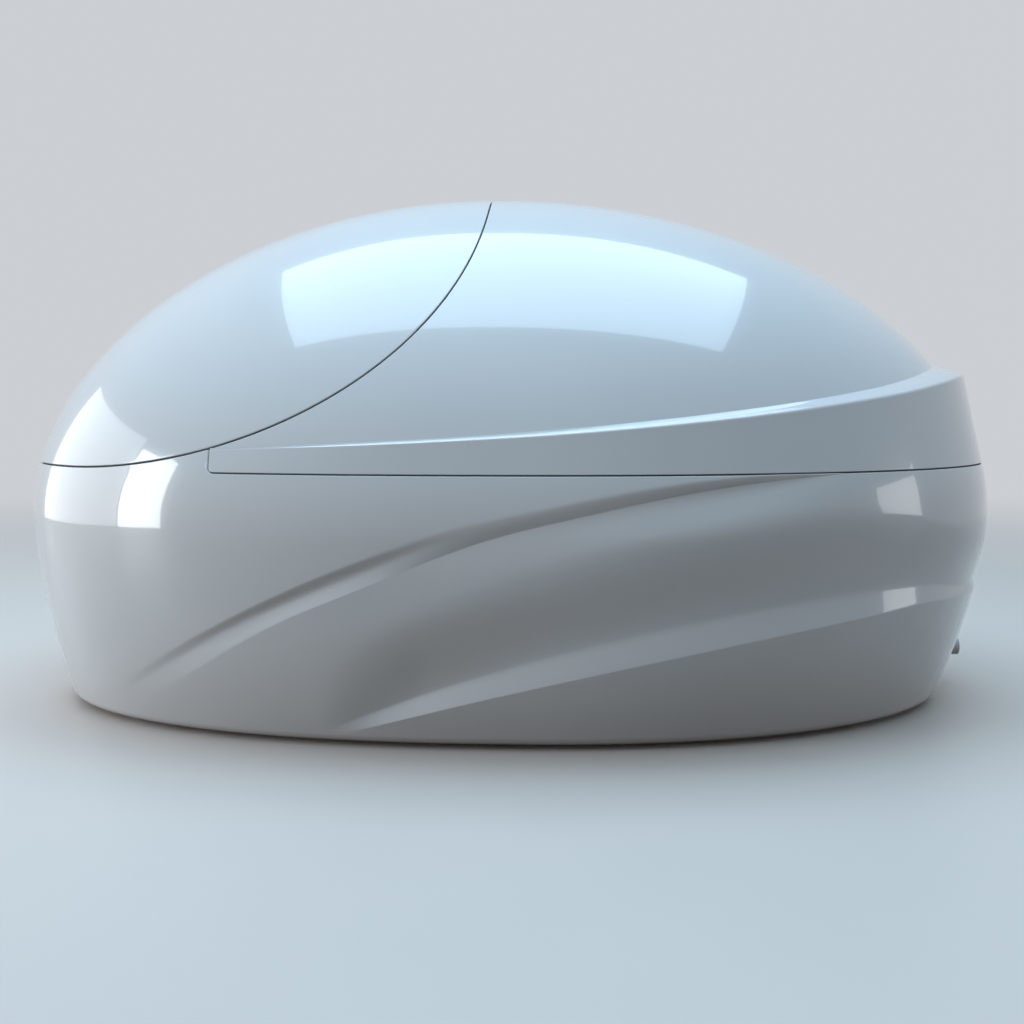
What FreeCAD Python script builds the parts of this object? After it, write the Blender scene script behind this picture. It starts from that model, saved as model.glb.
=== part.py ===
"""Flotation tank: an egg-shaped pod with a fluted tub, a collared canopy and a lifting door.

Frame: millimetres, +Z up, origin on the floor under the middle of the pod.
+X runs from the foot end, where the door is, to the head end.  The pod is
symmetric about the XZ plane apart from its equipment.
"""
import FreeCAD, Part
import math
import os

Vector = FreeCAD.Vector

# ---------------------------------------------------------------- pod envelope
HALF_LENGTH = 1280.0        # middle to either end at the belt
HALF_WIDTH = 800.0          # middle to either side at the belt
POD_HEIGHT = 1330.0         # floor to the top of the dome
BELT_Z = 500.0              # height of the widest section
WIDEST_X = 70.0             # station of the widest section
APEX_X = -40.0              # station of the dome's highest point
FRONT_POWER = 2.34          # plan exponent of the foot end
REAR_POWER = 2.05           # plan exponent of the head end
APEX_POWER = 2.29           # plan exponent near the apex
DOME_POWER = 1.95           # exponent of the dome's side profile
SHOULDER_SLIM = 0.21        # how much the dome's width draws in towards the apex
FOOT_TUCK = 77.0            # draw-in at the floor, foot end
HEAD_TUCK = 119.0           # draw-in at the floor, head end
SIDE_TUCK = 141.0           # draw-in at the floor, sides
TUCK_POWER = 1.66           # how the draw-in grows towards the floor

# ---------------------------------------------------------------- shells
SHELL = 8.0                 # moulded skin of canopy and door
CASING_WALL = 38.0          # foam-cored wall of the tub casing
CASING_BOTTOM_Z = 12.0      # underside of the casing
SOLE_THICKNESS = 28.0       # inward sole flange of the casing
SOLE_WIDTH = 82.0           # how far the sole flange reaches inward
SEAM_Z = 633.0              # middle of the seam between canopy and tub
SEAM_GAP = 3.0              # width of that seam
COLLAR_FRONT_X = -645.0     # front end of the collar
COLLAR_LEAN = 13.0          # degrees that the collar leans inward
COLLAR_LINE = ((-660.0, 633.0), (-470.0, 664.0), (-290.0, 690.0), (220.0, 729.0),
               (644.0, 773.0), (958.0, 819.0), (1330.0, 888.0))
FLANGE_WIDTH = 34.0         # canopy bolting flange on the tub rim

# ---------------------------------------------------------------- door seam
DOOR_GAP = 3.5              # gap all round the door
DOOR_TOP_X = -45.0          # seam station at the top of the dome
DOOR_TURN_X = -1060.0       # station where the seam runs level
DOOR_LEVEL_Z = 636.0        # seam height at the foot end
DOOR_POWER = 2.13           # exponent of the seam's quarter curve
SEAL_REACH = 14.0           # door seal either side of the seam
SEAL_THICKNESS = 8.0
SEAL_CLEARANCE = 0.3

# ---------------------------------------------------------------- door hinge
HINGE_X = 200.0
HINGE_Z = 1242.0
HINGE_Y = 170.0             # middle to the plane of either arm
PIN_RADIUS = 7.0
PIN_CLEARANCE = 0.05
HUB_RADIUS = 15.0
HUB_WIDTH = 30.0
CHEEK_THICKNESS = 6.0
CHEEK_CLEARANCE = 1.0
CHEEK_LENGTH = 60.0
PAD_DEPTH = 6.0             # thinnest part of a bracket's pad under the curved roof
ARM_DEPTH = 24.0
ARM_THICKNESS = 12.0
ARM_ROUTE = ((286.0, 230.0), (312.0, 199.0), (330.0, 182.0), (343.0, 174.0))
ARM_CORNER = 26.0
ARM_PAD_LENGTH = 96.0
ARM_PAD_WIDTH = 60.0

# ---------------------------------------------------------------- gas struts
LEVER_REACH = 85.0          # hinge axis to strut pin
LEVER_ANGLE = 294.0         # lever direction with the door shut
LEVER_THICKNESS = 8.0
LEVER_RADIUS = 17.0
STRUT_BASE = (400.0, -122.0)        # strut's fixed pin from the hinge axis
STRUT_END = (34.36, -82.06)         # rod's pin from the hinge axis, door shut
STRUT_PIN_RADIUS = 4.0
STRUT_PIN_PLAY = 5.5        # free play of the rod's pin in the lever
STRUT_SIDE = 11.0           # lever plane to the strut's axis
CYLINDER_RADIUS = 14.0
CYLINDER_BORE = 12.0
CYLINDER_START = 18.0       # fixed pin to the cylinder's end
CYLINDER_LENGTH = 290.0
ROD_RADIUS = 5.0
ROD_START = 50.0            # fixed pin to the piston, door shut
PISTON_RADIUS = 11.9
PISTON_LENGTH = 14.0
EYE_RADIUS = 10.0
EYE_THICKNESS = 6.0

# ---------------------------------------------------------------- pool
POOL_X = -150.0             # middle of the pool
POOL_HALF_LENGTH = 1000.0   # at the rim
POOL_HALF_WIDTH = 675.0
POOL_POWER = 2.5
POOL_FLOOR_Z = 208.0
DECK_Z = 600.0              # top of the deck round the pool
LINER = 8.0
FLOOR_DRAW = 132.0          # draw-in of the walls at the floor
FLOOR_ROUND = 90.0          # radius where walls meet the floor

# ---------------------------------------------------------------- chassis and feet
RAIL_SECTION = 40.0
RAIL_WALL = 3.0
RAIL_Y = 260.0
RAIL_HALF_LENGTH = 940.0
CROSS_STATIONS = (-780.0, -260.0, 260.0, 780.0)
CROSS_INSET = 68.0          # cross members stop this far inside the pod's outline
FOOT_PAD_RADIUS = 40.0
FOOT_NUT_HEIGHT = 10.0
FOOT_STUD_RADIUS = 8.0
FOOT_STUD_CLEARANCE = 0.5
FOOT_STUD_TOP = 62.0
FOOT_STATIONS = (-860.0, 0.0, 860.0)
INSULATION_HALF_LENGTH = 765.0
INSULATION_HALF_WIDTH = 440.0
MAT_HALF_LENGTH = 640.0
MAT_HALF_WIDTH = 360.0
MAT_THICKNESS = 5.0

# ---------------------------------------------------------------- equipment bay
TRAY_THICKNESS = 4.0
TRAY_START_X = 740.0
RACK_X = 1052.0             # front face of the upright plate
RACK_HALF_WIDTH = 190.0
RACK_HEIGHT = 430.0
EQUIPMENT_X = 960.0         # station of pump and filter
PUMP_Z = 171.0              # pump shaft height
WET_END_RADIUS = 75.0
WET_END_Y = (-130.0, -40.0)
MOTOR_RADIUS = 62.0
MOTOR_LENGTH = 180.0
FILTER_Y = 150.0
FILTER_RADIUS = 85.0
FILTER_HEIGHT = 316.0
LID_RADIUS = 92.0
LID_HEIGHT = 36.0
LID_GRIPS = 8
PIPE_RADIUS = 20.0
SUCTION_RADIUS = 25.0
BEND_RADIUS = 34.0
HEATER_RADIUS = 30.0
HEATER_Z = 165.0
HEATER_HALF_LENGTH = 100.0
UV_RADIUS = 34.0
UV_Z = 470.0
UV_Y = (-130.0, 150.0)
MANIFOLD_X = 925.0
MANIFOLD_HALF_LENGTH = 265.0
MANIFOLD_RADIUS = 23.0
BOX_SIZE = (78.0, 270.0, 205.0)     # control box
BOX_Z = 212.0
SUCTION_Z = 350.0
JET_Y = 240.0
JET_BORE = 7.0
DRAIN_X = 560.0
DRAIN_Z = 108.0             # drain pipe, spigot and cable gland
DRAIN_DROP = 40.0           # end of the drain fitting above the pipe
VALVE_X = 800.0
VALVE_RADIUS = 23.5
VALVE_LENGTH = 70.0
STEM_RADIUS = 6.0
STEM_CLEARANCE = 0.05
HANDLE_Z = 150.0
HANDLE_LENGTH = 80.0
SPIGOT_RADIUS = 24.0        # hose stub outside the casing
SPIGOT_SHANK = 22.0         # shank through the casing
SPIGOT_BORE = 19.0
SPIGOT_LENGTH = 36.0
SPIGOT_FACE = 16.0          # casing to the face that the hose meets
GLAND_Y = 120.0
GLAND_RADIUS = 12.0
GLAND_BORE = 6.5            # cap's bore, round the cable
GLAND_CLEAR = 8.0           # bore of the shank behind the cap
GLAND_FACE = 12.0           # casing to the cap
GLAND_CAP = 30.0            # length of the cap

# ---------------------------------------------------------------- small fittings
HATCH_X = (915.0, 1140.0)
HATCH_HALF_WIDTH = 232.0
HATCH_THICKNESS = 5.0
HATCH_LAP = 15.0            # hatch cover beyond its opening
BUTTON_X = 40.0
BUTTON_RADIUS = 15.0
BUTTON_CLEARANCE = 0.5
BUTTON_TRAVEL = 4.0
BEZEL_RADIUS = 23.0
SLEEVE_RADIUS = 19.0
LIGHT_X = -150.0            # underwater lights
LIGHT_Z = 400.0
LIGHT_RADIUS = 48.0
HOUSING_RADIUS = 40.0
CEILING_LIGHT_X = 460.0
CEILING_LIGHT_RADIUS = 90.0
VENT_X = 660.0
VENT_RADIUS = 70.0
BOLT_TURNS = (-2.62, -2.2, -1.75, -1.3, -0.85, -0.4)
BOLT_RADIUS = 4.0
BOLT_CLEARANCE = 0.5
BOLT_INSET = 23.0
BOLT_HEAD_RADIUS = 7.0
BOLT_HEAD_HEIGHT = 6.0
BOLT_REACH = 26.0
RAIL_STATIONS = (-540.0, -350.0)    # posts of the entry rails
RAIL_LIFT = 45.0
RAIL_RADIUS = 9.0
DOOR_HANDLE_Z = 770.0       # pull bar inside the door
DOOR_HANDLE_REACH = 100.0   # middle to either post

# ---------------------------------------------------------------- flutes
UPPER_DEPTH = 18.0
LOWER_DEPTH = 24.0
LOWER_RISE = 150.0          # fading height over the lower flute's band, at the sides
HEAD_RISE = 90.0            # the same at the head end
HEAD_SHARE = 0.3            # share of the lower flute's depth left at the head end

RING_POINTS = 28
REGION_REACH = 1700.0       # half size of the region prisms


# ================================================================ envelope formulas
def blend(start, end, share):
    """Value between start and end."""
    return start + (end - start) * share


def envelope(z, inset=0.0):
    """Plan section at height z: centre x, front reach, rear reach, half width, exponents."""
    if z < BELT_Z:
        tuck = ((BELT_Z - z) / BELT_Z) ** TUCK_POWER
        front = HALF_LENGTH + WIDEST_X - FOOT_TUCK * tuck - inset
        rear = HALF_LENGTH - WIDEST_X - HEAD_TUCK * tuck - inset
        return WIDEST_X, front, rear, HALF_WIDTH - SIDE_TUCK * tuck - inset, FRONT_POWER, REAR_POWER
    rise = min((z - BELT_Z) / (POD_HEIGHT - inset - BELT_Z), 1.0)
    along = (1.0 - rise ** DOME_POWER) ** (1.0 / DOME_POWER)
    across = math.sqrt(1.0 - rise * rise) * (1.0 - SHOULDER_SLIM * rise ** 1.5)
    centre = blend(WIDEST_X, APEX_X, rise)
    shift = centre - WIDEST_X
    front = (HALF_LENGTH + WIDEST_X - inset + shift) * along
    rear = (HALF_LENGTH - WIDEST_X - inset - shift) * along
    change = rise ** 1.5
    return (centre, front, rear, (HALF_WIDTH - inset) * across,
            blend(FRONT_POWER, APEX_POWER, change), blend(REAR_POWER, APEX_POWER, change))


def rim_point(section, turn, z):
    """Point of a plan section at turn radians from the head end."""
    centre, front, rear, half_width, front_power, rear_power = section
    cosine = math.cos(turn)
    sine = math.sin(turn)
    reach, power = (rear, rear_power) if cosine > 0 else (front, front_power)
    scale = (abs(cosine) ** power + abs(sine) ** power) ** (-1.0 / power)
    return Vector(centre + reach * cosine * scale, half_width * sine * scale, z)


def outside(x, y, z, inset=0.0):
    """Negative inside the pod, positive outside."""
    if z >= POD_HEIGHT - inset:
        return 1.0
    centre, front, rear, half_width, front_power, rear_power = envelope(z, inset)
    reach, power = (rear, rear_power) if x > centre else (front, front_power)
    return (abs(x - centre) / reach) ** power + (abs(y) / half_width) ** power - 1.0


def side_y(x, z, inset=0.0):
    """Half width of the pod at station x and height z."""
    centre, front, rear, half_width, front_power, rear_power = envelope(z, inset)
    reach, power = (rear, rear_power) if x > centre else (front, front_power)
    share = (abs(x - centre) / reach) ** power
    return half_width * max(1.0 - share, 0.0) ** (1.0 / power)


def roof_z(x, y, inset=0.0):
    """Height of the dome over a plan point."""
    low = BELT_Z
    high = POD_HEIGHT - inset
    for _ in range(40):
        middle = (low + high) / 2.0
        if outside(x, y, middle, inset) < 0.0:
            low = middle
        else:
            high = middle
    return low


# ================================================================ shape helpers
def closed_curve(points):
    """Smooth closed wire through the points."""
    curve = Part.BSplineCurve()
    curve.interpolate(points, PeriodicFlag=True)
    return Part.Wire([curve.toShape()])


def open_curve(points):
    """Smooth edge through the points."""
    curve = Part.BSplineCurve()
    curve.interpolate(points)
    return curve.toShape()


def ring(section, z):
    """Closed plan curve of a section."""
    step = 2.0 * math.pi / RING_POINTS
    return closed_curve([rim_point(section, step * index, z) for index in range(RING_POINTS)])


def polygon(points):
    """Closed straight-sided wire."""
    return Part.makePolygon(list(points) + [points[0]])


def box(x_range, y_range, z_range):
    """Box from three low and high pairs."""
    size = [high - low for low, high in (x_range, y_range, z_range)]
    return Part.makeBox(size[0], size[1], size[2], Vector(x_range[0], y_range[0], z_range[0]))


def cylinder(radius, start, end):
    """Round bar between two points."""
    axis = end - start
    return Part.makeCylinder(radius, axis.Length, start, axis)


def rounded_path(points, corner):
    """Wire of straight runs joined by tangent arcs."""
    edges = []
    last = points[0]
    for before, here, after in zip(points, points[1:], points[2:]):
        inward = (before - here).normalize()
        outward = (after - here).normalize()
        half_turn = (math.pi - inward.getAngle(outward)) / 2.0
        trim = corner * math.tan(half_turn)
        middle_reach = corner / math.cos(half_turn) - corner
        bisector = (inward + outward).normalize()
        start = here + inward * trim
        end = here + outward * trim
        edges.append(Part.LineSegment(last, start).toShape())
        edges.append(Part.Arc(start, here + bisector * middle_reach, end).toShape())
        last = end
    edges.append(Part.LineSegment(last, points[-1]).toShape())
    return Part.Wire(edges)


def pipe(points, corner, radius):
    """Round solid pipe along straight runs and bends."""
    path = rounded_path(points, corner)
    profile = Part.Wire([Part.makeCircle(radius, points[0], points[1] - points[0])])
    return path.makePipeShell([profile], True, False)


def fuse(shapes):
    """One solid from touching or overlapping shapes."""
    joined = shapes[0].fuse(shapes[1:])
    return joined.removeSplitter()


def mirror(shape):
    """Copy on the other side of the pod."""
    return shape.mirror(Vector(0, 0, 0), Vector(0, 1, 0))


def from_hinge(x, z, y=0.0):
    """Point given from the hinge axis."""
    return Vector(HINGE_X + x, y, HINGE_Z + z)


def polar_from_hinge(reach, angle, y=0.0):
    """Point at a reach and an angle, in degrees from +X towards +Z, from the hinge axis."""
    turn = math.radians(angle)
    return from_hinge(reach * math.cos(turn), reach * math.sin(turn), y)


def export(node, shape):
    """Write one sub-part as STEP."""
    solids = shape.Solids
    volume = sum(solid.Volume for solid in solids) / 1e6
    print(f"{node}: {len(solids)} solid(s), {volume:.3f} litres, valid {shape.isValid()}")
    if len(solids) == 1:
        shape = solids[0]
    shape.exportStep(f"parts/{node}.step")


# ================================================================ pod solids and regions
def tub_solid(inset=0.0, bottom=CASING_BOTTOM_Z, top=730.0):
    """Solid of the pod from near the floor to a little above the seam."""
    levels = [bottom, 60.0, 130.0, 215.0, 310.0, 405.0, BELT_Z, 565.0, 630.0, 690.0, top]
    rings = [ring(envelope(z, inset), z) for z in levels if z >= bottom]
    return Part.makeLoft(rings, True, False)


def dome_solid(inset=0.0):
    """Solid under the dome, reaching down past the seam."""
    low_z = 560.0
    centre, _, _, half_width, _, _ = envelope(low_z, inset)
    rows = []
    turns = 18
    laps = 16
    limit = math.radians(86.0)
    for turn_index in range(turns + 1):
        turn = math.pi * turn_index / turns
        row = []
        for lap in range(laps + 1):
            y = half_width * math.sin(limit * (2.0 * lap / laps - 1.0))
            near, far = 0.0, 2.0 * HALF_LENGTH
            for _ in range(46):
                middle = (near + far) / 2.0
                x = centre + middle * math.cos(turn)
                z = low_z + middle * math.sin(turn)
                if outside(x, y, z, inset) < 0.0:
                    near = middle
                else:
                    far = middle
            row.append(Vector(centre + near * math.cos(turn), y, low_z + near * math.sin(turn)))
        rows.append(row)
    surface = Part.BSplineSurface()
    surface.interpolate(rows)
    return surface.toShape().extrude(Vector(0, 0, BELT_Z - POD_HEIGHT))


def region(outline):
    """Prism across the pod from a wire in the XZ plane."""
    face = Part.Face(Part.Wire(outline))
    face.translate(Vector(0, -REGION_REACH, 0))
    return face.extrude(Vector(0, 2.0 * REGION_REACH, 0))


def seam_points(offset):
    """Door seam in the XZ plane from the dome's top to where it runs level."""
    reach_x = DOOR_TOP_X - DOOR_TURN_X + offset
    reach_z = POD_HEIGHT - DOOR_LEVEL_Z + offset
    points = []
    steps = 14
    for index in range(steps + 1):
        turn = 0.5 * math.pi * index / steps
        cosine = math.cos(turn)
        sine = math.sin(turn)
        scale = (abs(cosine) ** DOOR_POWER + abs(sine) ** DOOR_POWER) ** (-1.0 / DOOR_POWER)
        points.append(Vector(DOOR_TURN_X + reach_x * cosine * scale, 0,
                             POD_HEIGHT - reach_z * sine * scale))
    return points


def door_region(offset):
    """Everything on the door's side of the seam, moved outward by offset."""
    points = seam_points(offset)
    edge = open_curve(points)
    level = points[-1].z
    top = points[0].x
    corners = [points[-1], Vector(-REGION_REACH, 0, level), Vector(-REGION_REACH, 0, REGION_REACH),
               Vector(top, 0, REGION_REACH), points[0]]
    sides = [Part.LineSegment(a, b).toShape() for a, b in zip(corners, corners[1:])]
    return region([edge] + sides)


def canopy_region():
    """Everything behind the door seam and above the tub seam."""
    low = SEAM_Z + SEAM_GAP / 2.0
    front = COLLAR_FRONT_X + SEAM_GAP / 2.0
    behind = box((front, REGION_REACH), (-REGION_REACH, REGION_REACH), (low, REGION_REACH))
    return behind.cut(door_region(DOOR_GAP / 2.0))


def tub_region():
    """Everything below the door seam and the tub seam."""
    low = SEAM_Z - SEAM_GAP / 2.0
    front = COLLAR_FRONT_X - SEAM_GAP / 2.0
    below = box((-REGION_REACH, REGION_REACH), (-REGION_REACH, REGION_REACH), (-10.0, low))
    nose = box((-REGION_REACH, front), (-REGION_REACH, REGION_REACH), (low, 760.0))
    return below.fuse(nose.cut(door_region(DOOR_GAP / 2.0)))


# ================================================================ tub casing and its flutes
def upper_flute_band(x):
    """Lower edge, upper edge and depth share of the upper flute at station x."""
    high = 210.0 + 0.60 * (x + 790.0) - 0.000206 * (x + 790.0) ** 2
    low = 265.0 + 0.50 * (x + 570.0) - 0.00017 * (x + 570.0) ** 2
    return low, high


def lower_flute_band(x):
    """Crease height and soft upper boundary of the lower flute at station x."""
    crease = 63.0 + 0.315 * (x + 270.0) - 0.00009 * (x + 270.0) ** 2
    soft = 64.0 + 0.43 * (x + 357.0) - 0.000155 * (x + 357.0) ** 2
    return crease, max(soft, crease + 24.0)


def radial(turn, z, depth):
    """Point at plan angle turn and height z, sunk by depth, in that turn's upright plane."""
    middle = Vector(WIDEST_X, 0, z)
    outward = (rim_point(envelope(BELT_Z), turn, z) - middle).normalize()
    reach = (rim_point(envelope(z, depth), turn, z) - middle).dot(outward)
    return middle + outward * reach


def upper_flute_section(x, share):
    """Closed profile of the upper flute's cutter at station x, depth share 0 to 1."""
    low, high = upper_flute_band(x)
    turn = station_turn(x)
    depth = UPPER_DEPTH * share - 3.0 * (1.0 - share)
    lower = radial(turn, low, -2.0)
    inner = radial(turn, blend(low, high, 0.42), depth)
    upper = radial(turn, high, -2.0)
    out_high = radial(turn, high, -40.0)
    out_low = radial(turn, low, -40.0)
    return Part.Wire([Part.Arc(lower, inner, upper).toShape(),
                      Part.LineSegment(upper, out_high).toShape(),
                      Part.LineSegment(out_high, out_low).toShape(),
                      Part.LineSegment(out_low, lower).toShape()])


def lower_flute_section(turn, x, share):
    """Closed profile of the lower flute's cutter: a band over a crisp crease, fading out above."""
    crease, soft = lower_flute_band(x)
    rise = blend(LOWER_RISE, HEAD_RISE, fade(x, 700.0, HALF_LENGTH))
    depth = LOWER_DEPTH * share - 3.0 * (1.0 - share)
    foot = radial(turn, crease, -2.0)
    upper = radial(turn, soft + rise, -2.0)
    profile = open_curve([foot, radial(turn, blend(crease, soft, 0.5), 0.62 * depth - 0.76),
                          radial(turn, soft, depth), radial(turn, soft + 0.36 * rise, 0.68 * depth),
                          radial(turn, soft + 0.7 * rise, 0.17 * depth), upper])
    out_high = radial(turn, soft + rise, -40.0)
    out_low = radial(turn, crease, -40.0)
    return Part.Wire([profile,
                      Part.LineSegment(upper, out_high).toShape(),
                      Part.LineSegment(out_high, out_low).toShape(),
                      Part.LineSegment(out_low, foot).toShape()])


def station_turn(x):
    """Plan angle, on the near side, whose belt point lies at station x."""
    low, high = -math.pi, 0.0
    section = envelope(BELT_Z)
    for _ in range(40):
        middle = (low + high) / 2.0
        if rim_point(section, middle, 0.0).x < x:
            low = middle
        else:
            high = middle
    return low


def fade(value, start, full):
    """0 at start, 1 at full, smooth between."""
    share = min(max((value - start) / (full - start), 0.0), 1.0)
    return share * share * (3.0 - 2.0 * share)


def upper_flute_cutter():
    """Cutter for the near side's upper flute."""
    stations = [-1000.0 + 170.0 * index for index in range(11)]
    sections = []
    for x in stations:
        share = fade(x, -1000.0, -560.0) * (1.0 - fade(x, 330.0, 700.0))
        sections.append(upper_flute_section(x, share))
    return Part.makeLoft(sections, True, False)


def lower_flute_cutter():
    """Cutter for the lower flute, round the head end from side to side."""
    start = station_turn(-380.0)
    steps = 20
    sections = []
    for index in range(steps + 1):
        turn = blend(start, -start, index / steps)
        x = rim_point(envelope(BELT_Z), turn, 0.0).x
        share = fade(x, -380.0, -60.0) * blend(1.0, HEAD_SHARE, fade(x, 700.0, HALF_LENGTH))
        sections.append(lower_flute_section(turn, x, share))
    return Part.makeLoft(sections, True, False)


def make_tub_casing(cavity):
    """Foam-cored outer wall with an inward sole flange and two flowing flutes."""
    outer = tub_solid().common(tub_region())
    hatch = tub_solid(CASING_WALL + SOLE_WIDTH, CASING_BOTTOM_Z - 2.0, 740.0)
    casing = outer.cut(cavity).cut(hatch)
    upper = upper_flute_cutter()
    for cutter in (upper, mirror(upper), lower_flute_cutter()):
        casing = casing.cut(cutter)
    return casing


# ================================================================ canopy and door
def collar_solid(inset=0.0):
    """Tub side carried on upward, leaning in, from the seam to above the collar line."""
    section = envelope(SEAM_Z)
    rings = []
    for z in (SEAM_Z - 20.0, SEAM_Z + 60.0, SEAM_Z + 150.0, SEAM_Z + 290.0):
        lean = math.tan(math.radians(COLLAR_LEAN)) * (z - SEAM_Z) + inset
        rings.append(ring((section[0], section[1] - lean, section[2] - lean, section[3] - lean,
                           section[4], section[5]), z))
    return Part.makeLoft(rings, True, False)


def below_collar_line(drop=0.0):
    """Everything under the collar's top line."""
    edge = open_curve([Vector(x, 0, z - drop) for x, z in COLLAR_LINE])
    first, last = COLLAR_LINE[0], COLLAR_LINE[-1]
    corners = [Vector(last[0], 0, last[1] - drop), Vector(last[0], 0, 500.0),
               Vector(first[0], 0, 500.0), Vector(first[0], 0, first[1] - drop)]
    sides = [Part.LineSegment(a, b).toShape() for a, b in zip(corners, corners[1:])]
    return region([edge] + sides)


def rim_band(inner_inset, outer_inset, low, high):
    """Flat ring on the tub's rim, behind the collar's front end."""
    slab = box((COLLAR_FRONT_X + SEAM_GAP / 2.0, REGION_REACH), (-REGION_REACH, REGION_REACH),
               (low, high))
    return tub_solid(outer_inset).common(slab).cut(tub_solid(inner_inset))


def make_canopy_shell(dome, dome_inside):
    """Fixed dome skin, with the collar as a hollow ledge and a bolting flange on the rim."""
    outer = dome.fuse(collar_solid().common(below_collar_line()))
    hollow = dome_inside.fuse(collar_solid(SHELL).common(below_collar_line(SHELL)))
    skin = outer.cut(hollow).common(canopy_region())
    low = SEAM_Z + SEAM_GAP / 2.0
    return skin.fuse(rim_band(FLANGE_WIDTH, SHELL / 2.0, low, low + SHELL))


def make_door_shell(dome, dome_inside):
    """Lifting front of the dome."""
    return dome.cut(dome_inside).common(door_region(-DOOR_GAP / 2.0))


def make_rim_seal():
    """Flat gasket that closes the seam between canopy and tub."""
    low = SEAM_Z - SEAM_GAP / 2.0
    return rim_band(FLANGE_WIDTH, SEAM_GAP, low, low + SEAM_GAP)


def make_door_seal(casing):
    """Gasket under the door seam, from the top of the dome to the foot end."""
    outer = dome_solid(SHELL + SEAL_CLEARANCE)
    inner = dome_solid(SHELL + SEAL_CLEARANCE + SEAL_THICKNESS)
    band = door_region(SEAL_REACH).cut(door_region(-SEAL_REACH))
    return outer.cut(inner).common(band).cut(casing)


# ================================================================ pool
def pool_section(z, outset=0.0):
    """Plan section of the pool basin at height z."""
    share = min(max((DECK_Z - z) / (DECK_Z - POOL_FLOOR_Z), 0.0), 1.0)
    draw = FLOOR_DRAW * share ** 1.6
    into_round = (POOL_FLOOR_Z + FLOOR_ROUND - z) / FLOOR_ROUND
    if into_round > 0.0:
        draw += FLOOR_ROUND * (1.0 - math.sqrt(max(1.0 - into_round ** 2, 0.0)))
    reach = POOL_HALF_LENGTH - draw + outset
    return POOL_X, reach, reach, POOL_HALF_WIDTH - draw + outset, POOL_POWER, POOL_POWER


def pool_solid(outset=0.0):
    """Solid of the basin from its floor to above the deck."""
    heights = [0.0, 8.0, 26.0, 54.0, 92.0, 170.0, 262.0, 340.0, DECK_Z - POOL_FLOOR_Z]
    rings = [ring(pool_section(POOL_FLOOR_Z + height, outset), POOL_FLOOR_Z + height - outset)
             for height in heights]
    top = pool_section(DECK_Z, outset)
    rings.append(ring(top, DECK_Z + 40.0))
    return Part.makeLoft(rings, True, False)


def pool_end_x(y, z, outset=0.0):
    """Station of the basin's head wall at a given side position and height."""
    centre, reach, _, half_width, power, _ = pool_section(z, outset)
    return centre + reach * (1.0 - (abs(y) / half_width) ** power) ** (1.0 / power)


def pool_side_y(x, z, outset=0.0):
    """Half width of the basin at a station and height."""
    centre, reach, _, half_width, power, _ = pool_section(z, outset)
    return half_width * (1.0 - (abs(x - centre) / reach) ** power) ** (1.0 / power)


def deck_middle_y(x):
    """Middle of the side deck at a station."""
    return (pool_side_y(x, DECK_Z) + side_y(x, DECK_Z, CASING_WALL)) / 2.0


def make_pool_liner(cavity):
    """Basin and deck moulded in one, with openings for the fittings."""
    slab = box((-REGION_REACH, REGION_REACH), (-REGION_REACH, REGION_REACH),
               (DECK_Z - LINER, DECK_Z))
    liner = cavity.common(slab).fuse(pool_solid(LINER).common(
        box((-REGION_REACH, REGION_REACH), (-REGION_REACH, REGION_REACH), (0.0, DECK_Z))))
    liner = liner.cut(pool_solid())
    liner = liner.cut(box((HATCH_X[0] + HATCH_LAP, HATCH_X[1] - HATCH_LAP),
                          (HATCH_LAP - HATCH_HALF_WIDTH, HATCH_HALF_WIDTH - HATCH_LAP),
                          (DECK_Z - 2.0 * LINER, DECK_Z + LINER)))
    cutters = [suction_stem(), drain_stem()]
    cutters += jet_stems()
    cutters += light_housings()
    cutters += [cylinder(SLEEVE_RADIUS, Vector(BUTTON_X, y, DECK_Z - 30.0),
                         Vector(BUTTON_X, y, DECK_Z + 2.0)) for y in button_places()]
    for cutter in cutters:
        liner = liner.cut(cutter)
    return liner


def plan_prism(half_length, half_width, z_range):
    """Flat slab with the pool's plan shape."""
    section = (POOL_X, half_length, half_length, half_width, POOL_POWER, POOL_POWER)
    face = Part.Face(ring(section, z_range[0]))
    return face.extrude(Vector(0, 0, z_range[1] - z_range[0]))


def make_floor_insulation():
    """Foam slab that carries the pool floor on the chassis."""
    top = POOL_FLOOR_Z - LINER - MAT_THICKNESS
    bottom = CASING_BOTTOM_Z + SOLE_THICKNESS + RAIL_SECTION
    slab = plan_prism(INSULATION_HALF_LENGTH, INSULATION_HALF_WIDTH, (bottom, top))
    duct = box((DRAIN_X - 42.0, REGION_REACH), (-42.0, 42.0), (bottom - 1.0, top + 1.0))
    return slab.cut(duct)


def make_heater_mat():
    """Flat heating mat under the pool floor."""
    top = POOL_FLOOR_Z - LINER
    return plan_prism(MAT_HALF_LENGTH, MAT_HALF_WIDTH, (top - MAT_THICKNESS, top))


# ================================================================ chassis
def square_tube(x_range, y_range, along_x):
    """Square tube along X or Y, resting on the casing's sole flange."""
    low = CASING_BOTTOM_Z + SOLE_THICKNESS
    outer = box(x_range, y_range, (low, low + RAIL_SECTION))
    x_wall, y_wall = (0.0, RAIL_WALL) if along_x else (RAIL_WALL, 0.0)
    return outer.cut(box((x_range[0] + x_wall, x_range[1] - x_wall),
                         (y_range[0] + y_wall, y_range[1] - y_wall),
                         (low + RAIL_WALL, low + RAIL_SECTION - RAIL_WALL)))


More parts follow.
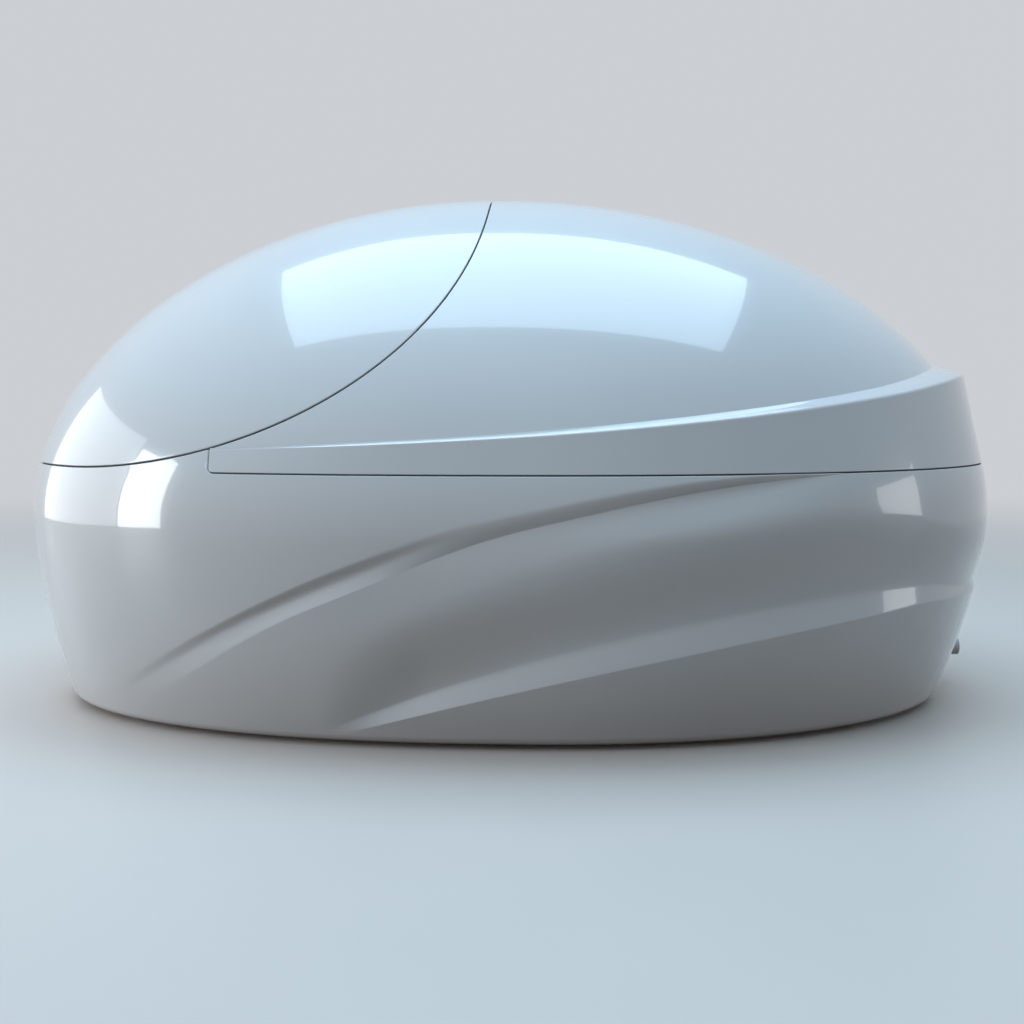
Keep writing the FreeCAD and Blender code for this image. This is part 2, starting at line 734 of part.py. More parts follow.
def make_chassis_rails():
    """Two long rails with holes for the feet's studs."""
    low = CASING_BOTTOM_Z + SOLE_THICKNESS
    half = RAIL_SECTION / 2.0
    rails = [square_tube((-RAIL_HALF_LENGTH, RAIL_HALF_LENGTH), (y - half, y + half), True)
             for y in (-RAIL_Y, RAIL_Y)]
    frame = Part.makeCompound(rails)
    for x, y in foot_places():
        frame = frame.cut(cylinder(FOOT_STUD_RADIUS + FOOT_STUD_CLEARANCE, Vector(x, y, low - 1.0),
                                   Vector(x, y, low + RAIL_WALL + 1.0)))
    return frame


def make_cross_members():
    """Cross tubes welded between and outside the rails, out to the casing's sole flange."""
    low = CASING_BOTTOM_Z + SOLE_THICKNESS
    half = RAIL_SECTION / 2.0
    tubes = []
    for x in CROSS_STATIONS:
        reach = min(side_y(x - half, low, CROSS_INSET), side_y(x + half, low, CROSS_INSET))
        for y_range in ((-reach, -RAIL_Y - half), (half - RAIL_Y, RAIL_Y - half),
                        (RAIL_Y + half, reach)):
            tubes.append(square_tube((x - half, x + half), y_range, False))
    return Part.makeCompound(tubes)


def foot_places():
    """Plan positions of the levelling feet."""
    return [(x, side * RAIL_Y) for x in FOOT_STATIONS for side in (-1, 1)]


def make_levelling_feet():
    """Pads on threaded studs with lock nuts under the rails."""
    feet = []
    rail_low = CASING_BOTTOM_Z + SOLE_THICKNESS
    for x, y in foot_places():
        pad_top = CASING_BOTTOM_Z
        pad = Part.makeCone(FOOT_PAD_RADIUS, FOOT_PAD_RADIUS * 0.7, pad_top, Vector(x, y, 0))
        stud = cylinder(FOOT_STUD_RADIUS, Vector(x, y, pad_top), Vector(x, y, FOOT_STUD_TOP))
        nut_low = rail_low - FOOT_NUT_HEIGHT
        corners = [Vector(x + 2.0 * FOOT_STUD_RADIUS * math.cos(math.pi * k / 3.0),
                          y + 2.0 * FOOT_STUD_RADIUS * math.sin(math.pi * k / 3.0), nut_low)
                   for k in range(6)]
        nut = Part.Face(polygon(corners)).extrude(Vector(0, 0, FOOT_NUT_HEIGHT))
        feet.append(fuse([pad, stud, nut]))
    return Part.makeCompound(feet)


# ================================================================ equipment bay
def rack_floor_z():
    """Top of the equipment tray."""
    return CASING_BOTTOM_Z + SOLE_THICKNESS + RAIL_SECTION + TRAY_THICKNESS


def make_equipment_rack():
    """Tray on the chassis with an upright plate for the heater, lamp and controls."""
    floor = rack_floor_z()
    tray = box((TRAY_START_X, RACK_X + 60.0), (-REGION_REACH, REGION_REACH),
               (floor - TRAY_THICKNESS, floor))
    tray = tray.common(tub_solid(CASING_WALL + 25.0))
    plate = box((RACK_X, RACK_X + TRAY_THICKNESS), (-RACK_HALF_WIDTH, RACK_HALF_WIDTH),
                (floor, floor + RACK_HEIGHT))
    rack = tray.fuse(plate)
    ports = [(FILTER_Y, HEATER_Z, PIPE_RADIUS + 4.0), (0.0, DRAIN_Z, PIPE_RADIUS + 3.0)]
    for y, z, radius in ports:
        rack = rack.cut(cylinder(radius, Vector(RACK_X - 5.0, y, z), Vector(RACK_X + 10.0, y, z)))
    return rack


def make_circulation_pump():
    """Pump wet end with its suction face, discharge neck and foot."""
    low, high = WET_END_Y
    wet_end = cylinder(WET_END_RADIUS, Vector(EQUIPMENT_X, low, PUMP_Z),
                       Vector(EQUIPMENT_X, high, PUMP_Z))
    middle = (low + high) / 2.0
    neck = cylinder(SUCTION_RADIUS + 5.0, Vector(EQUIPMENT_X, middle, PUMP_Z),
                    Vector(EQUIPMENT_X, middle, PUMP_Z + WET_END_RADIUS + 14.0))
    foot = box((EQUIPMENT_X - 50.0, EQUIPMENT_X + 50.0), (low + 10.0, high - 10.0),
               (rack_floor_z(), PUMP_Z - 40.0))
    return fuse([wet_end, neck, foot])


def make_pump_motor():
    """Finned motor behind the wet end."""
    start = WET_END_Y[0]
    body = cylinder(MOTOR_RADIUS - 6.0, Vector(EQUIPMENT_X, start - MOTOR_LENGTH, PUMP_Z),
                    Vector(EQUIPMENT_X, start, PUMP_Z))
    pieces = [body]
    fins = 6
    for index in range(fins):
        y = start - 22.0 - index * (MOTOR_LENGTH - 44.0) / (fins - 1)
        pieces.append(cylinder(MOTOR_RADIUS, Vector(EQUIPMENT_X, y - 3.0, PUMP_Z),
                               Vector(EQUIPMENT_X, y + 3.0, PUMP_Z)))
    pieces.append(box((EQUIPMENT_X - 42.0, EQUIPMENT_X + 42.0),
                      (start - MOTOR_LENGTH + 30.0, start - 40.0),
                      (rack_floor_z(), PUMP_Z - 35.0)))
    return fuse(pieces)


def make_filter_canister():
    """Upright filter housing."""
    base = Vector(EQUIPMENT_X, FILTER_Y, rack_floor_z())
    return cylinder(FILTER_RADIUS, base, base + Vector(0, 0, FILTER_HEIGHT))


def make_filter_lid():
    """Screw lid with grip scallops."""
    base = Vector(EQUIPMENT_X, FILTER_Y, rack_floor_z() + FILTER_HEIGHT)
    top = base + Vector(0, 0, LID_HEIGHT)
    lid = cylinder(LID_RADIUS, base, top)
    for index in range(LID_GRIPS):
        turn = 2.0 * math.pi * index / LID_GRIPS
        out = Vector(math.cos(turn), math.sin(turn), 0) * (LID_RADIUS + 12.0)
        lid = lid.cut(cylinder(20.0, base + out - Vector(0, 0, 1), top + out + Vector(0, 0, 1)))
    return lid


def make_inline_heater():
    """Heater tube low on the upright plate, with its terminal cap."""
    x = RACK_X + TRAY_THICKNESS + HEATER_RADIUS
    body = cylinder(HEATER_RADIUS, Vector(x, -HEATER_HALF_LENGTH, HEATER_Z),
                    Vector(x, HEATER_HALF_LENGTH, HEATER_Z))
    cap = box((x - 14.0, x + HEATER_RADIUS + 8.0), (-26.0, 26.0), (HEATER_Z - 18.0, HEATER_Z + 18.0))
    return fuse([body, cap])


def make_uv_steriliser():
    """Ultraviolet lamp housing high on the upright plate, with end nuts."""
    x = RACK_X + TRAY_THICKNESS + UV_RADIUS
    pieces = [cylinder(UV_RADIUS - 4.0, Vector(x, UV_Y[0], UV_Z), Vector(x, UV_Y[1], UV_Z))]
    for start, end in ((UV_Y[0], UV_Y[0] + 30.0), (UV_Y[1] - 30.0, UV_Y[1])):
        pieces.append(cylinder(UV_RADIUS, Vector(x, start, UV_Z), Vector(x, end, UV_Z)))
    return fuse(pieces)


def make_control_box():
    """Control enclosure on the back of the upright plate."""
    depth, width, height = BOX_SIZE
    start = RACK_X + TRAY_THICKNESS
    body = box((start, start + depth), (-width / 2.0, width / 2.0), (BOX_Z, BOX_Z + height))
    return body.makeFillet(8.0, [edge for edge in body.Edges
                                 if edge.BoundBox.XLength > depth - 1.0])


def suction_stem():
    """Stem of the suction fitting through the basin's head wall."""
    start = pool_end_x(0.0, SUCTION_Z) - 20.0
    return cylinder(SUCTION_RADIUS, Vector(start, 0, SUCTION_Z),
                    Vector(pool_end_x(0.0, SUCTION_Z) + 52.0, 0, SUCTION_Z))


def make_suction_fitting(liner):
    """Suction outlet with a slotted guard on the pool side."""
    face = pool_end_x(0.0, SUCTION_Z)
    flange = cylinder(56.0, Vector(face - 20.0, 0, SUCTION_Z), Vector(face + 30.0, 0, SUCTION_Z))
    flange = flange.common(pool_solid())
    fitting = fuse([suction_stem(), flange])
    for z in (-24.0, -8.0, 8.0, 24.0):
        fitting = fitting.cut(box((face - 30.0, face - 12.0), (-30.0, 30.0),
                                  (SUCTION_Z + z - 3.0, SUCTION_Z + z + 3.0)))
    return fitting.cut(liner)


def jet_stems():
    """Stems of the two return jets through the basin's head wall."""
    stems = []
    for y in (-JET_Y, JET_Y):
        face = pool_end_x(y, UV_Z)
        stems.append(cylinder(PIPE_RADIUS - 2.0, Vector(face - 14.0, y, UV_Z),
                              Vector(MANIFOLD_X - PIPE_RADIUS - 25.0, y, UV_Z)))
    return stems


def make_return_jets(liner):
    """Two return nozzles with flanges on the pool side."""
    jets = []
    for stem, y in zip(jet_stems(), (-JET_Y, JET_Y)):
        face = pool_end_x(y, UV_Z)
        flange = cylinder(34.0, Vector(face - 14.0, y, UV_Z), Vector(face + 30.0, y, UV_Z))
        jet = fuse([stem, flange.common(pool_solid())]).cut(liner)
        jets.append(jet.cut(cylinder(JET_BORE, Vector(face - 20.0, y, UV_Z),
                                     Vector(face + 8.0, y, UV_Z))))
    return Part.makeCompound(jets)


def make_suction_pipe():
    """Pipe from the suction fitting down to the pump's face."""
    start = pool_end_x(0.0, SUCTION_Z) + 52.0
    drop_x = start + 2.2 * BEND_RADIUS
    points = [Vector(start, 0, SUCTION_Z), Vector(drop_x, 0, SUCTION_Z), Vector(drop_x, 0, PUMP_Z),
              Vector(EQUIPMENT_X, 0, PUMP_Z), Vector(EQUIPMENT_X, WET_END_Y[1], PUMP_Z)]
    return pipe(points, BEND_RADIUS, SUCTION_RADIUS)


def make_pressure_pipe():
    """Pipe from the pump's neck across to the filter's side."""
    middle = (WET_END_Y[0] + WET_END_Y[1]) / 2.0
    top = PUMP_Z + WET_END_RADIUS + 14.0
    points = [Vector(EQUIPMENT_X, middle, top), Vector(EQUIPMENT_X, middle, top + 50.0),
              Vector(EQUIPMENT_X, FILTER_Y - FILTER_RADIUS, top + 50.0)]
    return pipe(points, BEND_RADIUS, PIPE_RADIUS)


def make_heater_pipe():
    """Pipe from the filter through the upright plate to the heater's near end."""
    x = RACK_X + TRAY_THICKNESS + HEATER_RADIUS
    points = [Vector(EQUIPMENT_X + FILTER_RADIUS, FILTER_Y, HEATER_Z),
              Vector(x, FILTER_Y, HEATER_Z), Vector(x, HEATER_HALF_LENGTH, HEATER_Z)]
    return pipe(points, BEND_RADIUS, PIPE_RADIUS)


def make_lamp_pipe():
    """Riser from the heater's far end to the ultraviolet lamp."""
    x = RACK_X + TRAY_THICKNESS + HEATER_RADIUS
    x_top = RACK_X + TRAY_THICKNESS + UV_RADIUS
    out_y = -RACK_HALF_WIDTH + 15.0
    points = [Vector(x, -HEATER_HALF_LENGTH, HEATER_Z), Vector(x, out_y, HEATER_Z),
              Vector(x_top, out_y, UV_Z), Vector(x_top, UV_Y[0], UV_Z)]
    return pipe(points, BEND_RADIUS, PIPE_RADIUS - 2.0)


def make_return_pipe():
    """Pipe from the lamp round the plate to the manifold behind the jets."""
    x = RACK_X + TRAY_THICKNESS + UV_RADIUS
    side = RACK_HALF_WIDTH + 30.0
    points = [Vector(x, UV_Y[1], UV_Z), Vector(x, side, UV_Z), Vector(MANIFOLD_X, side, UV_Z)]
    pieces = [pipe(points, BEND_RADIUS, PIPE_RADIUS)]
    pieces.append(cylinder(MANIFOLD_RADIUS, Vector(MANIFOLD_X, -MANIFOLD_HALF_LENGTH, UV_Z),
                           Vector(MANIFOLD_X, MANIFOLD_HALF_LENGTH, UV_Z)))
    for y in (-JET_Y, JET_Y):
        pieces.append(cylinder(PIPE_RADIUS, Vector(MANIFOLD_X - PIPE_RADIUS - 25.0, y, UV_Z),
                               Vector(MANIFOLD_X, y, UV_Z)))
    return fuse(pieces)


def drain_stem():
    """Stem of the floor drain."""
    return cylinder(PIPE_RADIUS + 4.0, Vector(DRAIN_X, 0, DRAIN_Z + DRAIN_DROP),
                    Vector(DRAIN_X, 0, POOL_FLOOR_Z + 4.0))


def make_drain_fitting():
    """Floor drain with a slotted grate."""
    flange = cylinder(44.0, Vector(DRAIN_X, 0, POOL_FLOOR_Z), Vector(DRAIN_X, 0, POOL_FLOOR_Z + 4.0))
    nut = cylinder(36.0, Vector(DRAIN_X, 0, POOL_FLOOR_Z - LINER - 10.0),
                   Vector(DRAIN_X, 0, POOL_FLOOR_Z - LINER))
    fitting = fuse([drain_stem(), flange, nut])
    for y in (-12.0, 0.0, 12.0):
        fitting = fitting.cut(box((DRAIN_X - 18.0, DRAIN_X + 18.0), (y - 2.5, y + 2.5),
                                  (POOL_FLOOR_Z - 6.0, POOL_FLOOR_Z + 5.0)))
    return fitting


def make_drain_pipe():
    """Drain pipe in two lengths, before and after the valve."""
    first = pipe([Vector(DRAIN_X, 0, DRAIN_Z + DRAIN_DROP), Vector(DRAIN_X, 0, DRAIN_Z),
                  Vector(VALVE_X - VALVE_LENGTH / 2.0, 0, DRAIN_Z)], BEND_RADIUS, PIPE_RADIUS)
    rest = cylinder(PIPE_RADIUS, Vector(VALVE_X + VALVE_LENGTH / 2.0, 0, DRAIN_Z),
                    Vector(spigot_start(), 0, DRAIN_Z))
    return Part.makeCompound([first, rest])


def spigot_start():
    """Station where the drain pipe meets the spigot."""
    return pod_end_x(0.0, DRAIN_Z) - CASING_WALL - 20.0


def pod_end_x(y, z, inset=0.0):
    """Station of the pod's head end at a side position and height."""
    centre, _, rear, half_width, _, power = envelope(z, inset)
    return centre + rear * (1.0 - (abs(y) / half_width) ** power) ** (1.0 / power)


def make_drain_valve():
    """Ball valve body with a neck that guides the lever's stem."""
    body = cylinder(VALVE_RADIUS, Vector(VALVE_X - VALVE_LENGTH / 2.0, 0, DRAIN_Z),
                    Vector(VALVE_X + VALVE_LENGTH / 2.0, 0, DRAIN_Z))
    neck_top = HANDLE_Z - 6.0
    neck = cylinder(14.0, Vector(VALVE_X, 0, DRAIN_Z), Vector(VALVE_X, 0, neck_top))
    bore = cylinder(STEM_RADIUS + STEM_CLEARANCE, Vector(VALVE_X, 0, DRAIN_Z + 4.0),
                    Vector(VALVE_X, 0, neck_top + 1.0))
    return fuse([body, neck]).cut(bore)


def make_drain_lever():
    """Quarter-turn lever on its stem, across the pipe when shut."""
    stem = cylinder(STEM_RADIUS, Vector(VALVE_X, 0, DRAIN_Z + 6.0), Vector(VALVE_X, 0, HANDLE_Z + 8.0))
    boss = cylinder(13.0, Vector(VALVE_X, 0, HANDLE_Z - 5.0), Vector(VALVE_X, 0, HANDLE_Z + 5.0))
    blade = box((VALVE_X - 9.0, VALVE_X + 9.0), (0.0, HANDLE_LENGTH), (HANDLE_Z - 2.0, HANDLE_Z + 2.0))
    return fuse([stem, boss, blade])


def make_drain_spigot():
    """Hose spigot through the casing's head end."""
    outer_x = pod_end_x(0.0, DRAIN_Z)
    face = Vector(outer_x + SPIGOT_FACE, 0, DRAIN_Z)
    tip = face + Vector(SPIGOT_LENGTH, 0, 0)
    shank = cylinder(SPIGOT_SHANK, Vector(spigot_start(), 0, DRAIN_Z), face)
    flange = cylinder(SPIGOT_RADIUS + 8.0, Vector(outer_x - 20.0, 0, DRAIN_Z), face)
    spigot = fuse([shank, flange.cut(tub_solid()), cylinder(SPIGOT_RADIUS, face, tip)])
    return spigot.cut(cylinder(SPIGOT_BORE, Vector(spigot_start() + 20.0, 0, DRAIN_Z),
                               tip + Vector(1, 0, 0)))


def casing_ports():
    """Holes through the casing's head end for the spigot and the cable gland."""
    ports = []
    for y, radius in ((0.0, SPIGOT_SHANK), (GLAND_Y, GLAND_RADIUS)):
        outer_x = pod_end_x(y, DRAIN_Z)
        ports.append(cylinder(radius, Vector(outer_x - 120.0, y, DRAIN_Z),
                              Vector(outer_x + 20.0, y, DRAIN_Z)))
    return ports


def make_cable_gland():
    """Strain-relief gland for the supply cable."""
    outer_x = pod_end_x(GLAND_Y, DRAIN_Z)

    def at(x):
        return Vector(outer_x + x, GLAND_Y, DRAIN_Z)

    back = -CASING_WALL - 24.0
    stem = cylinder(GLAND_RADIUS, at(back), at(GLAND_FACE))
    collar = cylinder(GLAND_RADIUS + 6.0, at(-20.0), at(GLAND_FACE)).cut(tub_solid())
    cap = cylinder(GLAND_RADIUS, at(GLAND_FACE), at(GLAND_FACE + GLAND_CAP))
    gland = fuse([stem, collar, cap])
    gland = gland.cut(cylinder(GLAND_CLEAR, at(back - 1.0), at(GLAND_FACE)))
    return gland.cut(cylinder(GLAND_BORE, at(0.0), at(GLAND_FACE + GLAND_CAP + 1.0)))


def make_service_hatch():
    """Lift-off cover over the equipment bay, with a finger slot."""
    low = DECK_Z
    cover = box(HATCH_X, (-HATCH_HALF_WIDTH, HATCH_HALF_WIDTH), (low, low + HATCH_THICKNESS))
    upright = [edge for edge in cover.Edges if edge.BoundBox.ZLength > HATCH_THICKNESS / 2.0]
    cover = cover.makeFillet(24.0, upright)
    slot = box((HATCH_X[0] + 30.0, HATCH_X[0] + 54.0), (-45.0, 45.0), (low - 1.0, low + 20.0))
    slot = slot.makeFillet(11.0, [edge for edge in slot.Edges if edge.BoundBox.ZLength > 5.0])
    return cover.cut(slot)


# ================================================================ pool fittings
def button_places():
    """Side positions of the two push buttons."""
    middle = deck_middle_y(BUTTON_X)
    return (-middle, middle)


def make_button_bezels():
    """Cups let into the side decks that guide the push buttons."""
    bezels = []
    for y in button_places():
        def at(z, y=y):
            return Vector(BUTTON_X, y, z)
        ring_top = cylinder(BEZEL_RADIUS, at(DECK_Z), at(DECK_Z + 5.0))
        sleeve = cylinder(SLEEVE_RADIUS, at(DECK_Z - 30.0), at(DECK_Z))
        bore = cylinder(BUTTON_RADIUS + BUTTON_CLEARANCE, at(DECK_Z - 26.0), at(DECK_Z + 6.0))
        bezels.append(fuse([ring_top, sleeve]).cut(bore))
    return Part.makeCompound(bezels)


def make_button(y):
    """Push button with a dished top."""
    bottom = DECK_Z - 26.0 + BUTTON_TRAVEL + 4.0
    top = DECK_Z + 5.0 + BUTTON_TRAVEL
    button = cylinder(BUTTON_RADIUS, Vector(BUTTON_X, y, bottom), Vector(BUTTON_X, y, top))
    dish = Part.makeSphere(60.0, Vector(BUTTON_X, y, top + 58.6))
    return button.cut(dish)


def light_housings():
    """Housings of the underwater lights, one in each side wall."""
    housings = []
    for side in (-1, 1):
        face = pool_side_y(LIGHT_X, LIGHT_Z)
        housings.append(cylinder(HOUSING_RADIUS, Vector(LIGHT_X, side * (face - 4.0), LIGHT_Z),
                                 Vector(LIGHT_X, side * (face + 62.0), LIGHT_Z)))
    return housings


def make_underwater_lights(liner):
    """Lamp housings behind the side walls."""
    return Part.makeCompound([housing.cut(liner) for housing in light_housings()])


def make_light_lenses(liner):
    """Lenses on the pool side of the lamp housings."""
    lenses = []
    for side, housing in zip((-1, 1), light_housings()):
        face = pool_side_y(LIGHT_X, LIGHT_Z)
        lens = cylinder(LIGHT_RADIUS, Vector(LIGHT_X, side * (face - 14.0), LIGHT_Z),
                        Vector(LIGHT_X, side * (face + 40.0), LIGHT_Z))
        lenses.append(lens.common(pool_solid()).cut(housing))
    return Part.makeCompound(lenses)


def make_entry_rails():
    """Grab rails on the side decks beside the doorway."""
    rails = []
    for side in (-1, 1):
        ends = [Vector(x, side * deck_middle_y(x), DECK_Z) for x in RAIL_STATIONS]
        lift = Vector(0, 0, RAIL_LIFT)
        rails.append(pipe([ends[0], ends[0] + lift, ends[1] + lift, ends[1]], 22.0, RAIL_RADIUS))
    return Part.makeCompound(rails)


# ================================================================ canopy fittings
def bolt_places():
    """Plan positions of the canopy bolts, both sides and the head end."""
    section = envelope(SEAM_Z, BOLT_INSET)
    turns = list(BOLT_TURNS) + [0.0] + [-turn for turn in BOLT_TURNS]
    points = [rim_point(section, turn, 0.0) for turn in turns]
    return [(point.x, point.y) for point in points if point.x > COLLAR_FRONT_X + 30.0]


def bolt_holes():
    """Clearance holes through flange, seal and tub rim."""
    low = SEAM_Z - SEAM_GAP / 2.0
    top = SEAM_Z + SEAM_GAP / 2.0 + SHELL
    return [cylinder(BOLT_RADIUS + BOLT_CLEARANCE, Vector(x, y, low - BOLT_REACH),
                     Vector(x, y, top + 1.0)) for x, y in bolt_places()]


def make_canopy_bolts():
    """Bolts that hold the canopy's flange down on the tub rim."""
    top = SEAM_Z + SEAM_GAP / 2.0 + SHELL
    low = SEAM_Z - SEAM_GAP / 2.0 - BOLT_REACH
    bolts = []
    for x, y in bolt_places():
        head = cylinder(BOLT_HEAD_RADIUS, Vector(x, y, top), Vector(x, y, top + BOLT_HEAD_HEIGHT))
        shank = cylinder(BOLT_RADIUS, Vector(x, y, low), Vector(x, y, top))
        bolts.append(fuse([head, shank]))
    return Part.makeCompound(bolts)


def make_ceiling_light(dome_inside):
    """Round lamp under the roof."""
    low = roof_z(CEILING_LIGHT_X + CEILING_LIGHT_RADIUS, CEILING_LIGHT_RADIUS / 2.0, SHELL) - 10.0
    lamp = cylinder(CEILING_LIGHT_RADIUS, Vector(CEILING_LIGHT_X, 0, low),
                    Vector(CEILING_LIGHT_X, 0, low + 120.0))
    return lamp.common(dome_inside)


def make_vent_grille(dome_inside):
    """Slotted air vent under the roof behind the lamp."""
    low = roof_z(VENT_X + VENT_RADIUS, VENT_RADIUS / 2.0, SHELL) - 8.0
    vent = cylinder(VENT_RADIUS, Vector(VENT_X, 0, low), Vector(VENT_X, 0, low + 150.0))
    vent = vent.common(dome_inside)
    for index in range(-3, 4):
        half = math.sqrt(VENT_RADIUS ** 2 - (index * 16.0) ** 2) - 12.0
        vent = vent.cut(box((VENT_X + index * 16.0 - 4.0, VENT_X + index * 16.0 + 4.0),
                            (-half, half), (low - 1.0, low + 6.0)))
    return vent


# ================================================================ hinge, arms and struts
def roof_pad(x_range, y_range, dome_inside):
    """Wedge between a flat underside and the curved roof, and its underside height."""
    low = min(roof_z(x, y, SHELL) for x in x_range for y in y_range) - PAD_DEPTH
    return box(x_range, y_range, (low, low + 150.0)).common(dome_inside), low


def make_hinge_bracket(dome_inside):
    """Pad and two cheeks that carry the hinge pin."""
    half = CHEEK_LENGTH / 2.0
    inner = HUB_WIDTH / 2.0 + CHEEK_CLEARANCE
    outer = inner + CHEEK_THICKNESS
    pad, low = roof_pad((HINGE_X - half, HINGE_X + half), (HINGE_Y - outer, HINGE_Y + outer),
                        dome_inside)
    pieces = [pad]
    for near, far in ((-outer, -inner), (inner, outer)):
        cheek = box((HINGE_X - half, HINGE_X + half), (HINGE_Y + near, HINGE_Y + far),
                    (HINGE_Z, low))
        nose = cylinder(half * 0.6, Vector(HINGE_X, HINGE_Y + near, HINGE_Z),
                        Vector(HINGE_X, HINGE_Y + far, HINGE_Z))
        pieces += [cheek, nose]
    bracket = fuse(pieces)
    return bracket.cut(cylinder(PIN_RADIUS, Vector(HINGE_X, HINGE_Y - 40.0, HINGE_Z),
                                Vector(HINGE_X, HINGE_Y + 40.0, HINGE_Z)))


def make_hinge_pin():
    """Hinge pin with a head at the inner end."""
    outer = HUB_WIDTH / 2.0 + CHEEK_CLEARANCE + CHEEK_THICKNESS
    pin = cylinder(PIN_RADIUS, Vector(HINGE_X, HINGE_Y - outer - 4.0, HINGE_Z),
                   Vector(HINGE_X, HINGE_Y + outer, HINGE_Z))
    head = cylinder(PIN_RADIUS + 3.0, Vector(HINGE_X, HINGE_Y - outer - 4.0, HINGE_Z),
                    Vector(HINGE_X, HINGE_Y - outer, HINGE_Z))
    return fuse([pin, head])


def make_hinge_arm(dome_inside):
    """Gooseneck arm with its hub, strut lever and door pad."""
    route = [from_hinge(0.0, 0.0, HINGE_Y)]
    route += [polar_from_hinge(reach, angle, HINGE_Y) for reach, angle in ARM_ROUTE]
    path = rounded_path(route, ARM_CORNER)
    run = (route[1] - route[0]).normalize()
    across = Vector(0, 1, 0)
    normal = run.cross(across)
    corners = [route[0] + across * (side * ARM_THICKNESS / 2.0) + normal * (edge * ARM_DEPTH / 2.0)
               for side, edge in ((-1, -1), (1, -1), (1, 1), (-1, 1))]
    beam = path.makePipeShell([polygon(corners)], True, False)
    hub = cylinder(HUB_RADIUS, from_hinge(0.0, 0.0, HINGE_Y - HUB_WIDTH / 2.0),
                   from_hinge(0.0, 0.0, HINGE_Y + HUB_WIDTH / 2.0))
    end = route[-1]
    pad, _ = roof_pad((end.x - ARM_PAD_LENGTH * 0.6, end.x + ARM_PAD_LENGTH * 0.4),
                      (HINGE_Y - ARM_PAD_WIDTH / 2.0, HINGE_Y + ARM_PAD_WIDTH / 2.0), dome_inside)
    arm = fuse([beam.common(dome_inside), hub, pad, strut_lever()])
    bore = cylinder(PIN_RADIUS + PIN_CLEARANCE, from_hinge(0.0, 0.0, HINGE_Y - 40.0),
                    from_hinge(0.0, 0.0, HINGE_Y + 40.0))
    hole = cylinder(STRUT_PIN_RADIUS + STRUT_PIN_PLAY,
                    polar_from_hinge(LEVER_REACH, LEVER_ANGLE, HINGE_Y - 30.0),
                    polar_from_hinge(LEVER_REACH, LEVER_ANGLE, HINGE_Y + 30.0))
    return arm.cut(bore).cut(hole)


def strut_lever():
    """Flat lever on the hub that the gas strut pushes."""
    low = HINGE_Y - LEVER_THICKNESS / 2.0
    high = HINGE_Y + LEVER_THICKNESS / 2.0
    tip = cylinder(LEVER_RADIUS, polar_from_hinge(LEVER_REACH, LEVER_ANGLE, low),
                   polar_from_hinge(LEVER_REACH, LEVER_ANGLE, high))
    direction = polar_from_hinge(1.0, LEVER_ANGLE) - polar_from_hinge(0.0, LEVER_ANGLE)
    side = Vector(-direction.z, 0, direction.x)
    root = from_hinge(0.0, 0.0, low)
    far = polar_from_hinge(LEVER_REACH, LEVER_ANGLE, low)
    corners = [root + side * (HUB_RADIUS - 1.0), far + side * LEVER_RADIUS,
               far - side * LEVER_RADIUS, root - side * (HUB_RADIUS - 1.0)]
    web = Part.Face(polygon(corners)).extrude(Vector(0, high - low, 0))
    return fuse([tip, web])


def strut_line():
    """Fixed pin, direction to the rod's pin, and length of the shut strut."""
    y = HINGE_Y + STRUT_SIDE
    base = from_hinge(STRUT_BASE[0], STRUT_BASE[1], y)
    end = from_hinge(STRUT_END[0], STRUT_END[1], y)
    run = end - base
    return base, run * (1.0 / run.Length), run.Length


def strut_eye(centre):
    """Flat eye blank at a strut pin."""
    half = Vector(0, EYE_THICKNESS / 2.0, 0)
    return cylinder(EYE_RADIUS, centre - half, centre + half)


def make_strut_bracket(dome_inside):
    """Roof bracket with two cheeks and the strut's fixed pin."""
    base, _, _ = strut_line()
    inner = EYE_THICKNESS / 2.0 + CHEEK_CLEARANCE
    outer = inner + CHEEK_THICKNESS
    half = 16.0
    pad, low = roof_pad((base.x - half, base.x + half), (base.y - outer, base.y + outer), dome_inside)
    pieces = [pad]
    for near, far in ((-outer, -inner), (inner, outer)):
        pieces.append(box((base.x - half, base.x + half), (base.y + near, base.y + far),
                          (base.z, low)))
        pieces.append(cylinder(half, base + Vector(0, near, 0), base + Vector(0, far, 0)))
    pieces.append(cylinder(STRUT_PIN_RADIUS, base - Vector(0, outer, 0), base + Vector(0, outer, 0)))
    return fuse(pieces)


def make_strut_cylinder():
    """Pressure tube with its eye and the rod's guide."""
    base, run, _ = strut_line()
    start = base + run * CYLINDER_START
    end = base + run * (CYLINDER_START + CYLINDER_LENGTH)
    body = cylinder(CYLINDER_RADIUS, start, end)
    flat = box((-REGION_REACH, REGION_REACH), (base.y - EYE_THICKNESS / 2.0, base.y + EYE_THICKNESS / 2.0),
               (0.0, REGION_REACH))
    neck = cylinder(ROD_RADIUS + 1.0, base + run * (EYE_RADIUS - 4.0), start).common(flat)
    bore = cylinder(CYLINDER_BORE, start + run * 8.0, end - run * 12.0)
    guide = cylinder(ROD_RADIUS + PIN_CLEARANCE, end - run * 14.0, end + run)
    pin_hole = cylinder(STRUT_PIN_RADIUS + PIN_CLEARANCE, base - Vector(0, 20, 0),
                        base + Vector(0, 20, 0))
    return fuse([body, neck, strut_eye(base)]).cut(bore).cut(guide).cut(pin_hole)


